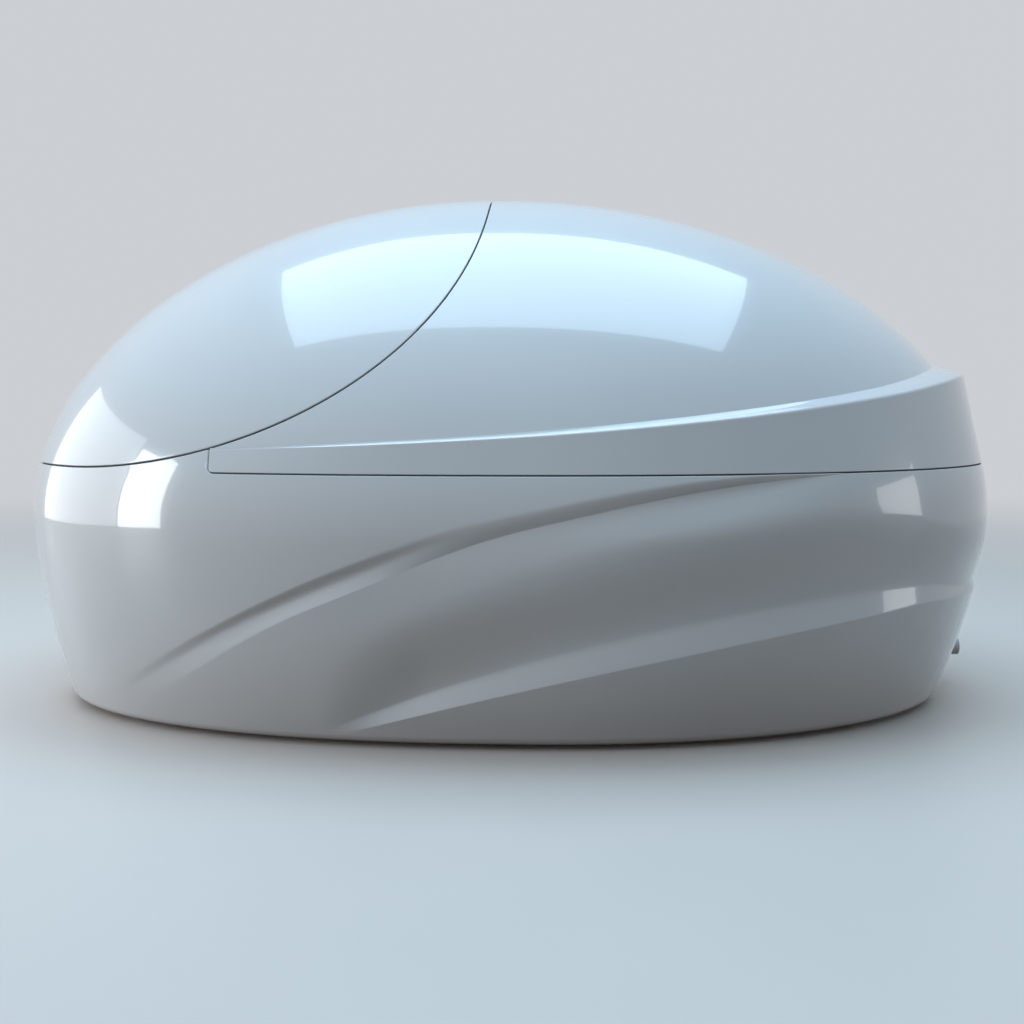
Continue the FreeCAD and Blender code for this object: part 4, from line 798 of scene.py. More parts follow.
@dataclass
class MouldedShell(SubAssembly):
    """A moulded shell that follows the pod's skin and ends at the door's seam."""

    pod: PodEnvelope
    seam: DoorSeam

    def place(self, piece: bpy.types.Object, body: str, slot: str, node: str) -> None:
        """Finish the new shell and let it ride.

        Args:
            piece: the new object.
            body: the body that it moves with.
            slot: the record's material slot; not used.
            node: the node that it stands for.
        """
        piece.data.materials.append(self.card.gelcoat.material())
        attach(piece, body)
        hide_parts(node)
        LOG.info("made %s, %d faces, on %s", piece.name, len(piece.data.polygons), body)


@dataclass(frozen=True)
class Sweep:
    """Line along the tub's side that climbs towards the head end and levels out."""

    x: float
    z: float
    climb: float
    bow: float

    def at(self, x: Array) -> Array:
        """Height at station x."""
        along = x - self.x
        return self.z + self.climb * along - self.bow * along**2


@dataclass
class TubCasing(MouldedShell):
    """Outer casing of the tub, with its two flutes on either side.

    A name that ends in _x holds the stations between which a form fades in or out.
    """

    wall: float = 0.038
    bottom_z: float = 0.012
    bottom_round: float = 0.020
    sole_top_z: float = 0.040
    sole_width: float = 0.082
    rim_z: float = 0.6315
    nose_x: float = -0.6465
    nose_fillet: float = 0.014
    edge_round: float = 0.0022
    upper_low: Sweep = Sweep(-0.570, 0.265, 0.50, 0.170)
    upper_high: Sweep = Sweep(-0.790, 0.210, 0.60, 0.206)
    upper_depth: float = 0.021
    upper_start_x: Span = (-1.050, -0.220)
    upper_end_x: Span = (0.420, 0.820)
    open_below_x: Span = (-0.450, 0.000)
    deepest: float = 0.52
    foot_lift: float = 0.15
    foot_lift_x: Span = (-0.700, -0.250)
    below_power: float = 1.20
    slope_run: float = 0.160
    high_dip: float = 0.010
    high_dip_x: Span = (-0.10, 0.15)
    tail_front: float = -0.45
    tail_run: float = 0.35
    tail_drop: float = 0.035
    crest_middle: float = -0.04
    crest_run: float = 0.17
    crest_rise: float = 0.009
    lip: float = 0.0022
    lower_crease: Sweep = Sweep(-0.270, 0.063, 0.315, 0.090)
    lower_soft: Sweep = Sweep(-0.357, 0.064, 0.43, 0.155)
    lower_depth: float = 0.029
    lower_start_x: Span = (-0.420, -0.160)
    least_climb: float = 0.024
    soft_round: float = 0.2
    soft_delay: float = 0.05
    head_sag: float = 0.026
    head_sag_x: Span = (0.950, 1.220)
    head_from: float = 0.700
    crease: float = 0.0007
    side_rise: float = 0.220
    head_rise: float = 0.120
    head_share: float = 0.3
    spacing: float = 0.0092
    fine_spacing: float = 0.0022
    fine_reach: Span = (0.01, 0.10)
    smooth_columns: int = 24
    lean_from_z: float = 0.48
    least_bands: tuple[float, ...] = (0.008, 0.012, 0.03, 0.02, 0.02)
    least_band: float = 0.006
    band_rows: tuple[int, ...] = (15, 13, 13, 12, 15)
    rim_rows: int = 26
    foot_rows: int = 6
    first_guess_z: float = 0.4
    least_z: float = 0.05
    rounds: int = 6
    side_samples: int = 1499
    corner_samples: int = 39
    step_samples: int = 60
    seam_samples: int = 400
    nose_samples: int = 499
    rim_shares: tuple[float, ...] = (0.2, 0.5, 0.8)
    inner_levels: tuple[float, ...] = (0.600, 0.50, 0.38, 0.26, 0.15, 0.08)
    inner_lip: float = 0.002

    def upper_band(self, x: Array) -> tuple[Array, Array]:
        """Lower and upper edge of the upper flute at station x.

        Args:
            x: station or stations.

        Returns:
            Heights of the lower and the upper edge.
        """
        high = self.upper_high.at(x) - self.high_dip * fade(x, *self.high_dip_x)
        tail = np.maximum(self.tail_front - x, 0.0) / self.tail_run
        low = self.upper_low.at(x) - self.tail_drop * tail**1.5
        crest = np.exp(-(((x - self.crest_middle) / self.crest_run) ** 2))
        return low + self.crest_rise * crest, high

    def to_head(self, x: Array) -> Array:
        """0 along the side, 1 at the head end."""
        return fade(x, self.head_from, self.pod.half_length)

    def lower_band(self, x: Array) -> tuple[Array, Array, Array]:
        """Crease, soft line and upper end of the lower flute at station x.

        Args:
            x: station or stations.

        Returns:
            Heights of the crease, the soft line and the upper end.
        """
        sag = self.head_sag * fade(x, *self.head_sag_x)
        crease = self.lower_crease.at(x) - sag
        soft = np.maximum(self.lower_soft.at(x) - sag, crease + self.least_climb)
        more = (self.head_rise - self.side_rise) * self.to_head(x)
        return crease, soft, soft + self.side_rise + more

    def upper_sink(self, x: Array, z: Array) -> Array:
        """How far the upper flute sinks the skin, its lips still sharp.

        Args:
            x: stations.
            z: heights.

        Returns:
            Depth at each point.
        """
        low, high = self.upper_band(x)
        share = fade(x, *self.upper_start_x) * (1.0 - fade(x, *self.upper_end_x))
        across = np.clip((z - low) / np.maximum(high - low, 1e-6), 0.0, 1.0)
        deepest = self.deepest + self.foot_lift * (1.0 - fade(x, *self.foot_lift_x))
        below = 1.0 - np.maximum(1.0 - across / deepest, 0.0) ** self.below_power
        past = np.maximum(across - deepest, 0.0) / (1.0 - deepest)
        groove = np.where(across < deepest, below, 0.5 + 0.5 * np.cos(math.pi * past))
        run_out = np.clip(1.0 - (low - z) / self.slope_run, 0.0, 1.0) ** 2
        slope = np.where(z > low, 1.0 - np.sin(0.5 * math.pi * across), run_out)
        return self.upper_depth * share * blend(groove, slope, fade(x, *self.open_below_x))

    def lower_sink(self, x: Array, z: Array) -> Array:
        """How far the lower flute sinks the skin, its crease still sharp.

        Args:
            x: stations.
            z: heights.

        Returns:
            Depth at each point.
        """
        edge, soft, end = self.lower_band(x)
        share = fade(x, *self.lower_start_x) * blend(1.0, self.head_share, self.to_head(x))
        flat = 1.0 - self.soft_round
        climb = np.clip((z - edge) / (soft - edge), 0.0, 1.0 + self.soft_round)
        climb = climb - np.maximum(climb - flat, 0.0) ** 2 / (4.0 * self.soft_round)
        rest = np.clip((z - soft) / (end - soft) - self.soft_delay, 0.0, 1.0)
        fall = 1.0 + np.cos(math.pi * rest / (1.0 - self.soft_delay))
        return self.lower_depth * share * (climb * 0.5 * fall)

    def depth(self, x: Array, z: Array) -> Array:
        """How far the flutes sink the skin at stations and heights."""
        upper = np.hypot(self.upper_sink(x, z), self.lip) - self.lip
        return upper + np.hypot(self.lower_sink(x, z), self.crease) - self.crease

    def top_path(self, back: float) -> tuple[Array, Array]:
        """Upper edge of the near side, from the head end round to the nose.

        Args:
            back: how far below the edge the path keeps.

        Returns:
            Plan angles and heights.
        """
        rim_z, nose_x = self.rim_z - back, self.nose_x - back
        radius = self.nose_fillet + back
        offset = 0.5 * self.seam.gap + back
        start_turn = float(turn_of(self.pod.section(rim_z), nose_x + radius))
        side = np.linspace(0.0, start_turn, self.side_samples + 1)[:-1]
        angle = np.linspace(0.0, 0.5 * math.pi, self.corner_samples + 1)[:-1]
        first = self.seam.turn_at(nose_x, offset)
        _, seam_z = self.seam.curve(np.array(first), offset)
        step_z = np.linspace(rim_z + radius, float(seam_z), self.step_samples + 1)[:-1]
        along = np.linspace(first, 0.5 * math.pi, self.seam_samples)
        seam_x, seam_heights = self.seam.curve(along, offset)
        fillet_x = nose_x + radius - radius * np.sin(angle)
        x = np.concatenate([fillet_x, np.full_like(step_z, nose_x), seam_x])
        z = np.concatenate([rim_z + radius - radius * np.cos(angle), step_z, seam_heights])
        turns = turn_of(self.pod.section(z), x)
        nose = np.linspace(turns[-1], -math.pi, self.nose_samples + 1)[1:]
        heights = (np.full_like(side, rim_z), z, np.full_like(nose, z[-1]))
        return np.concatenate([side, turns, nose]), np.concatenate(heights)

    def columns(self) -> tuple[Array, Array, Array]:
        """Columns of the near side.

        Returns:
            Plan angle low down, plan angle at the top and height of the top.
        """
        turns, heights = self.top_path(self.edge_round)
        points = self.pod.rim(turns, heights)
        away = fade(np.abs(points[:, 0] - self.nose_x), *self.fine_reach)
        places = even_shares(points, blend(self.fine_spacing, self.spacing, away))
        top = pick(turns, places)
        low = smoothed(smoothed(top, self.smooth_columns), self.smooth_columns)
        return low, top, pick(heights, places)

    def turn_between(self, low: Array, top: Array, top_z: Array, z: Array) -> Array:
        """Plan angle of a column at a height."""
        return blend(low, top, ease((z - self.lean_from_z) / (top_z - self.lean_from_z)))

    def rows(self, low: Array, top: Array, top_z: Array) -> Array:
        """Heights of the rows, which follow the flutes' edges.

        Args:
            low: each column's plan angle low down.
            top: each column's plan angle at the top.
            top_z: each column's highest point.

        Returns:
            Heights, one row of the grid each.
        """
        levels = [np.full_like(low, self.bottom_z + self.bottom_round)]
        for line, least in enumerate(self.least_bands):
            z = np.full_like(low, self.first_guess_z)
            for _ in range(self.rounds):
                x = self.pod.rim(self.turn_between(low, top, top_z, z), z)[:, 0]
                z = (*self.lower_band(x), *self.upper_band(x))[line]
                z = np.clip(z, self.least_z, top_z)
            levels.append(np.maximum(z, levels[-1] + least))
        levels.append(top_z)
        for index in range(len(levels) - 2, 0, -1):
            levels[index] = np.minimum(levels[index], levels[index + 1] - self.least_band)
        spans = [close_packed(count) for count in self.band_rows]
        spans.append(np.linspace(0.0, 1.0, self.rim_rows))
        rows = []
        for start, end, shares in zip(levels, levels[1:], spans):
            rows.extend(blend(start, end, share) for share in shares[:-1])
        return np.stack([*rows, top_z])

    def build(self) -> bpy.types.Object:
        """Make the casing.

        Returns:
            The casing's object.
        """
        low, top, top_z = self.columns()
        heights = self.rows(low, top, top_z)
        turns = self.turn_between(low, top, top_z, heights)
        stations = self.pod.rim(turns, heights)[..., 0]
        outer = self.pod.rim(turns, heights, self.depth(stations, heights))
        radius = self.bottom_round
        angles = np.linspace(0.0, 0.5 * math.pi, self.foot_rows + 1)[:-1]
        foot_z = self.bottom_z + radius * (1.0 - np.cos(angles))[:, None] + 0.0 * low
        foot_inset = radius * (1.0 - np.sin(angles))[:, None] + 0.0 * low
        foot = self.pod.rim(np.broadcast_to(low, foot_z.shape), foot_z, foot_inset)
        outer = both_sides(np.concatenate([foot, outer]))
        normals = facing_out(self._closed_normals(outer), outer)
        edge = rolled_rings(outer[-1], outer[-2], normals[-1], self.edge_round)
        inside = both_sides(self._inner_rows(low, top, top_z))
        skin = SkinMesh()
        index = np.concatenate([skin.add(outer, normals), skin.add(np.concatenate([edge, inside]))])
        skin.weave(np.concatenate([index, index[:1]]), closed=True)
        return skin.build("casing_shell")

    def _closed_normals(self, grid: Array) -> Array:
        """Normals of a grid whose rows close on themselves."""
        wide = np.concatenate([grid[:, -2:], grid, grid[:, :2]], axis=1)
        return grid_normals(wide)[:, 2:-2]

    def _inner_rows(self, low: Array, top: Array, top_z: Array) -> Array:
        """Rim, inner wall and sole flange of the near side, from the rim down.

        Args:
            low: each column's plan angle low down.
            top: each column's plan angle at the top.
            top_z: each column's highest point.

        Returns:
            Points, rows by columns.
        """
        rim_z, lip = top_z + self.edge_round, self.inner_lip
        rows = [self.pod.rim(top, rim_z, self.wall * share) for share in self.rim_shares]
        for drop, back in ((0.0, lip), (0.3 * lip, 0.3 * lip), (lip, 0.0)):
            rows.append(self.pod.rim(top, rim_z - drop, self.wall - back))
        for z in (*self.inner_levels, self.sole_top_z):
            heights = np.full_like(low, z)
            turns = self.turn_between(low, top, top_z, heights)
            rows.append(self.pod.rim(turns, heights, self.wall))
        for z in (self.sole_top_z, self.bottom_z):
            rows.append(self.pod.rim(low, np.full_like(low, z), self.wall + self.sole_width))
        return np.stack(rows)

    def make(self) -> None:
        """Build and dress the casing."""
        self.place(self.build(), "tub", "tub_gelcoat", "tub_casing")


@dataclass
class Canopy(MouldedShell):
    """Fixed dome with its collar, seals, bolts and ceiling fittings."""

    shell: float = 0.008
    seam_z: float = 0.633
    rim_z: float = 0.6345
    front_x: float = -0.6435
    corner: float = 0.011
    lean: float = math.radians(13.0)
    collar_line: tuple[Span, ...] = (
        (-0.660, 0.682), (-0.470, 0.688), (-0.290, 0.697), (0.220, 0.729),
        (0.644, 0.773), (0.958, 0.819), (1.330, 0.888),
    )
    run_out_x: Span = (-0.600, -0.250)
    rear_lift: float = 0.007
    rear_lift_x: Span = (0.900, 1.180)
    upright_x: Span = (-0.45, 0.15)
    hollow: Span = (1.5, 0.75)
    hollow_x: Span = (0.60, 1.05)
    least_rise: float = 0.004
    least_round: float = 0.0003
    round_share: float = 0.45
    full_ledge: float = 0.02
    line_degree: int = 4
    rounds: int = 4
    corner_samples: int = 39
    side_samples: int = 2500
    seam_samples: int = 1500
    flange_columns: int = 600
    fine_reach: Span = (0.02, 0.12)
    lip_round: float = 0.011
    ledge_slope: float = 0.22
    wall_rows: int = 8
    lip_rows: int = 7
    ledge_rows: int = 10
    collar_rows: int = 26
    skirt_rows: int = 31
    dome_rows: int = 41
    edge_round: float = 0.0016
    flange_width: float = 0.034
    flange_back: float = 0.004
    middle: Triple = (0.35, 0.0, 0.55)
    spacing: float = 0.0115
    fine_spacing: float = 0.0022

    def line_z(self, x: Array) -> Array:
        """Height of the collar's top line at station x.

        Args:
            x: station or stations.

        Returns:
            Height at each station.
        """
        stations, heights = np.array(self.collar_line).T
        line = np.polyval(np.polyfit(stations, heights, self.line_degree), x)
        return line + self.rear_lift * fade(x, *self.rear_lift_x)

    def collar_section(self, z: Array, inset: Array | float) -> Section:
        """Plan section of the collar, which leans in from the seam.

        Args:
            z: height or heights.
            inset: distance inside the collar's face.

        Returns:
            Centre, reaches, half width and exponents.
        """
        base = self.pod.section(np.asarray(self.seam_z))
        draw = math.tan(self.lean) * (z - self.seam_z) + inset
        return base[0], base[1] - draw, base[2] - draw, base[3] - draw, base[4], base[5]

    def bottom_path(self) -> tuple[Array, Array]:
        """Plan angles and heights along the near side's lower edge, from its front corner.

        Returns:
            Plan angles and heights.
        """
        back = self.edge_round
        low, front, radius = self.rim_z + back, self.front_x + back, self.corner - back
        angle = np.linspace(0.0, 0.5 * math.pi, self.corner_samples + 1)[:-1]
        x = front + radius - radius * np.cos(angle)
        z = low + radius - radius * np.sin(angle)
        corner_turns = turn_of(self.collar_section(z, 0.0), x)
        start = float(turn_of(self.collar_section(np.asarray(low), 0.0), front + radius))
        side = np.linspace(start, 0.0, self.side_samples)
        return np.concatenate([corner_turns, side]), np.concatenate([z, np.full_like(side, low)])

    def seam_points(self, shares: Array) -> Array:
        """Near-side points inside the door's seam, at shares from its front to the top.

        Args:
            shares: 0 at the front, 1 at the top.

        Returns:
            One point for each share.
        """
        back = 0.5 * self.seam.gap + self.edge_round
        first = self.seam.turn_at(self.front_x + self.edge_round, back)
        return self.seam.on_skin(*self.seam.curve(first * (1.0 - shares), back))

    def near_grid(self, inset: float, turns: Array, low_z: Array, shares: Array) -> Array:
        """Rows of the near side, from the lower edge to the door seam.

        Args:
            inset: 0 for the outer skin, the shell's thickness for the inner.
            turns: each column's plan angle at the lower edge.
            low_z: each column's lowest point.
            shares: each column's share along the seam, 0 at the front.

        Returns:
            Points, rows by columns.
        """
        foot = rim_of(self.collar_section(low_z, 0.0), turns, low_z)
        stations = foot[:, 0]
        keep_x = 1.0 - fade(stations, *self.upright_x)

        def ring(section: Section, z: Array) -> Array:
            """Points of a section at every column, the front columns kept upright."""
            return rim_of(section, blend(turns, turn_of(section, stations), keep_x), z)

        lip_z = np.maximum(self.line_z(stations), low_z + self.least_rise)
        for _ in range(self.rounds):
            lip = ring(self.collar_section(lip_z, 0.0), lip_z)
            lip_z = np.maximum(self.line_z(lip[:, 0]), low_z + self.least_rise)
        ledge = np.linalg.norm((lip - ring(self.pod.section(lip_z), lip_z))[:, :2], axis=1)
        run_out = 1.0 - fade(stations, *self.run_out_x)
        ledge = ledge * (1.0 - run_out)
        radius = np.clip(self.round_share * ledge, self.least_round, self.lip_round)
        top_z = lip_z - inset * fade(ledge, 0.0, self.full_ledge)
        rows = []
        for share in np.linspace(0.0, 1.0, self.wall_rows + 1)[:-1]:
            z = blend(low_z, top_z - radius, share)
            rows.append(ring(self.collar_section(z, inset), z))
        for angle in np.linspace(0.0, 0.5 * math.pi, self.lip_rows):
            section = self.collar_section(top_z - radius, inset + radius * (1.0 - math.cos(angle)))
            rows.append(ring(section, top_z - radius + radius * math.sin(angle)))
        for row in rows:
            row += (ring(self.pod.section(row[:, 2], inset), row[:, 2]) - row) * run_out[:, None]
        join_z = top_z + self.least_rise + self.ledge_slope * ledge
        join = ring(self.pod.section(join_z, inset), join_z)
        start = rows[-1]
        hollow = blend(*self.hollow, fade(stations, *self.hollow_x))
        for share in close_packed(self.ledge_rows + 1)[1:]:
            row = blend(start, join, share)
            row[:, 2] = blend(start[:, 2], join[:, 2], share**hollow)
            rows.append(row)
        edge = self.seam_points(shares)
        edge[-1, 1] = 0.0
        origin = np.array(self.middle)
        skirt = close_packed(2 * self.skirt_rows - 1)[1 : self.skirt_rows]
        steps = np.concatenate([skirt, np.linspace(0.5, 1.0, self.dome_rows + 1)[1:]])
        dome = self.pod.cast(origin, arcs_between(origin, join, edge, steps), inset)
        return np.concatenate([np.stack(rows), dome])

    def build(self) -> bpy.types.Object:
        """Make the canopy shell.

        Returns:
            The shell's object.
        """
        turns, heights = self.bottom_path()
        foot = rim_of(self.collar_section(heights, 0.0), turns, heights)
        away = fade(foot[:, 0], *(self.front_x + reach for reach in self.fine_reach))
        places = even_shares(foot, blend(self.fine_spacing, self.spacing, away))
        shares = self._seam_shares(pick(run_shares(foot), places))
        turns, heights = pick(turns, places), pick(heights, places)
        outer, inner = (
            both_sides(self.near_grid(inset, turns, heights, shares), closed=False)
            for inset in (0.0, self.shell)
        )
        skin = SkinMesh()
        exact = facing_out(grid_normals(outer), outer)
        exact[self.collar_rows :] = self.pod.normal(outer[self.collar_rows :])
        outer_index = skin.add(outer, exact)
        inner_index = skin.add(inner)
        skin.weave(outer_index)
        skin.weave(inner_index)
        self._close_edge(skin, outer, outer_index, inner_index)
        self._add_flange(skin)
        return skin.build("canopy_dome")

    def _seam_shares(self, along: Array) -> Array:
        """Seam shares whose spacing in metres follows the lower edge's."""
        shares = np.linspace(0.0, 1.0, self.seam_samples)
        return np.interp(along, run_shares(self.seam_points(shares)), shares)

    def _close_edge(
        self, skin: SkinMesh, outer: Array, outer_index: Array, inner_index: Array
    ) -> None:
        """Round the outer skin's edge and join it to the inner skin.

        Args:
            skin: the mesh.
            outer: points of the outer skin.
            outer_index: their places in the mesh.
            inner_index: places of the inner skin's points.
        """
        normals = facing_out(grid_normals(outer), outer)

        def rim(grid: Array, shift: int = 0) -> Array:
            """Boundary loop of a grid, or the loop just inside it.

            Args:
                grid: the grid.
                shift: 0 for the boundary, 1 for the loop inside.

            Returns:
                The loop's entries in order.
            """
            last, side = grid.shape[0] - 1 - shift, grid.shape[1] - 1 - shift
            across, down = slice(1, -1), slice(-2, 0, -1)
            return np.concatenate([
                grid[shift, across], grid[across, side], grid[last, down], grid[down, shift],
            ])

        rings = rolled_rings(rim(outer), rim(outer, 1), rim(normals), self.edge_round)
        ring_index = skin.add(rings)
        whole = np.concatenate([rim(outer_index)[None], ring_index, rim(inner_index)[None]])
        skin.weave(whole, closed=True)

    def _add_flange(self, skin: SkinMesh) -> None:
        """Bolting flange on the tub's rim, as a flat bar round the inside.

        Args:
            skin: the mesh that it joins.
        """
        front = float(turn_of(self.pod.section(self.rim_z), self.front_x + self.flange_back))
        turns = np.linspace(front, -front, self.flange_columns)
        skin_side, top = 0.5 * self.shell, self.rim_z + self.shell
        profile = ((skin_side, self.rim_z), (self.flange_width, self.rim_z),
                   (self.flange_width, top), (skin_side, top))
        grid = np.stack([self.pod.rim(turns, np.full_like(turns, z), back) for back, z in profile])
        index = skin.add(grid)
        skin.weave(np.concatenate([index, index[:1]]))
        for end in (0, -1):
            skin.faces.append(index[:, end][None, :])

    def make(self) -> None:
        """Build and dress the canopy."""
        self.place(self.build(), "tub", "canopy_gelcoat", "canopy_shell")
        self.dress({
            "rim_seal": self.card.rubber,
            "door_seal": self.card.rubber,
            "canopy_bolts": self.card.steel,
            "ceiling_light": self.card.opal,
            "vent_grille": self.card.vent,
        })


@dataclass
class LiftingDoor(MouldedShell):
    """Lifting front of the dome with its inner pull bar."""

    shell: float = 0.008
    edge_round: float = 0.0016
    middle: Triple = (-0.30, 0.0, 0.50)
    crown: Triple = (-0.62, 0.0, 0.60)
    spacing: float = 0.0095
    seam_samples: int = 1500
    skin_rings: Span = (0.004, 0.008)
    nose_columns: int = 71
    face_rows: int = 74

    def half_ring(self, back: float, seam_turns: Array, nose_shares: Array) -> Array:
        """Near-side ring inside the door's edge.

        Args:
            back: distance inside the edge.
            seam_turns: places along the seam's quarter curve.
            nose_shares: places along the level run, 0 to 1 at the nose.

        Returns:
            Points from the top of the dome round to the nose.
        """
        offset = -0.5 * self.seam.gap - back
        seam = self.seam.on_skin(*self.seam.curve(seam_turns, offset))
        seam[0, 1] = 0.0
        level = np.asarray(self.seam.level_z - offset)
        section = self.pod.section(level)
        start = float(turn_of(section, self.seam.level_x))
        turns = blend(start, -math.pi, nose_shares)
        nose = rim_of(section, turns, np.full_like(turns, float(level)))
        nose[-1, 1] = 0.0
        return np.concatenate([seam, nose])

    def build(self) -> bpy.types.Object:
        """Make the door shell.

        Returns:
            The shell's object.
        """
        dense = np.linspace(0.0, 0.5 * math.pi, self.seam_samples)
        line = self.seam.on_skin(*self.seam.curve(dense, -0.5 * self.seam.gap))
        seam_turns = pick(dense, even_shares(line, np.full_like(dense, self.spacing)))
        nose_shares = np.linspace(0.0, 1.0, self.nose_columns + 1)[1:]
        radius = self.edge_round
        rings = []
        for angle in np.linspace(0.0, 0.5 * math.pi, EDGE_RINGS + 1):
            ring = self.half_ring(radius * (1.0 - math.cos(angle)), seam_turns, nose_shares)
            sunk = radius * (1.0 - math.sin(angle))
            rings.append(both_sides((ring - self.pod.normal(ring) * sunk)[None])[0])
        for back in self.skin_rings:
            ring = self.half_ring(back, seam_turns, nose_shares)
            rings.append(both_sides(ring[None])[0])
        origin = np.array(self.middle)
        tip = self.pod.cast(origin, unit(np.array([self.crown])))[0]
        steps = np.linspace(0.0, 1.0, self.face_rows + 2)[1:-1]
        arcs = arcs_between(origin, rings[-1], np.broadcast_to(tip, rings[-1].shape), steps)
        face = np.concatenate([np.stack(rings[-2:]), self.pod.cast(origin, arcs)])
        exact = self.pod.normal(face)
        skin = SkinMesh()
        edge_index = skin.add(np.stack(rings[:-2]))
        face_index = skin.add(face, exact)
        inner_edge = rings[0] - self.pod.normal(rings[0]) * (self.shell - radius)
        inner_index = skin.add(np.concatenate([inner_edge[None], face - exact * self.shell]),
                               np.concatenate([self.pod.normal(inner_edge[None]), exact]))
        tip_normal = self.pod.normal(tip[None])
        outer_tip = skin.add(tip[None], tip_normal)[0]
        inner_tip = skin.add(tip[None] - tip_normal * self.shell, tip_normal)[0]
        skin.weave(np.concatenate([inner_index[::-1], edge_index, face_index]), closed=True)
        skin.fan(face_index[-1], int(outer_tip))
        skin.fan(inner_index[-1][::-1], int(inner_tip))
        return skin.build("door_dome")

    def make(self) -> None:
        """Build and dress the door."""
        self.place(self.build(), "door", "door_gelcoat", "door_shell")
        self.dress({"door_handle": self.card.polished})


class LiftGear(SubAssembly):
    """Hinge arms, pins, brackets and gas struts on both sides."""

    def make(self) -> None:
        """Dress the lift gear."""
        finishes = {
            "hinge_bracket": self.card.steel,
            "hinge_pin": self.card.polished,
            "hinge_arm": self.card.steel,
            "strut_bracket": self.card.steel,
            "strut_cylinder": self.card.black_paint,
            "strut_rod": self.card.chrome,
        }
        for side in ("left", "right"):
            self.dress({f"{name}_{side}": finish for name, finish in finishes.items()})


class Pool(SubAssembly):
    """Basin, deck and the fittings that a bather meets."""

    def make(self) -> None:
        """Dress the pool."""
        self.dress({
            "pool_liner": self.card.pool,
            "service_hatch": self.card.hatch,
            "floor_insulation": self.card.foam,
            "heater_mat": self.card.mat,
            "entry_rails": self.card.polished,
            "button_bezels": self.card.polished,
            "light_button": self.card.blue_button,
            "call_button": self.card.red_button,
            "underwater_lights": self.card.housing,
            "light_lenses": self.card.glass,
            "suction_fitting": self.card.fitting,
            "return_jets": self.card.fitting,
            "drain_fitting": self.card.fitting,
        })


class EquipmentBay(SubAssembly):
    """Chassis, feet and the water treatment under the service hatch."""

    def make(self) -> None:
        """Dress the chassis and the equipment."""
        pipes = ("suction", "pressure", "heater", "lamp", "return", "drain")
        self.dress({f"{name}_pipe": self.card.pipe for name in pipes})
        self.dress({
            "chassis_rails": self.card.powder,
            "cross_members": self.card.powder,
            "levelling_feet": self.card.zinc,
            "equipment_rack": self.card.powder,
            "circulation_pump": self.card.black_plastic,
            "pump_motor": self.card.motor,
            "filter_canister": self.card.canister,
            "filter_lid": self.card.black_plastic,
            "inline_heater": self.card.steel,
            "uv_steriliser": self.card.polished,
            "control_box": self.card.enclosure,
            "drain_valve": self.card.valve,
            "drain_lever": self.card.red_paint,
            "drain_spigot": self.card.fitting,
            "cable_gland": self.card.black_plastic,
        })


# ------------------------------------------------------------------ studio
@dataclass(frozen=True)
class SoftBox:
    """One soft rectangular lamp."""

    name: str
    place: Triple
    target: Triple
    size: Span
    power: float
    colour: Triple = (1.0, 1.0, 1.0)

    def hang(self) -> None:
        """Hang the lamp in the scene."""
        data = bpy.data.lights.new(self.name, "AREA")
        data.shape = "RECTANGLE"
        data.size, data.size_y = self.size
        data.energy = self.power
        data.color = self.colour
        lamp = bpy.data.objects.new(self.name, data)
        lamp.location = self.place
        aim = Vector(self.target) - Vector(self.place)
        lamp.rotation_euler = aim.to_track_quat("-Z", "Y").to_euler()
        bpy.context.scene.collection.objects.link(lamp)


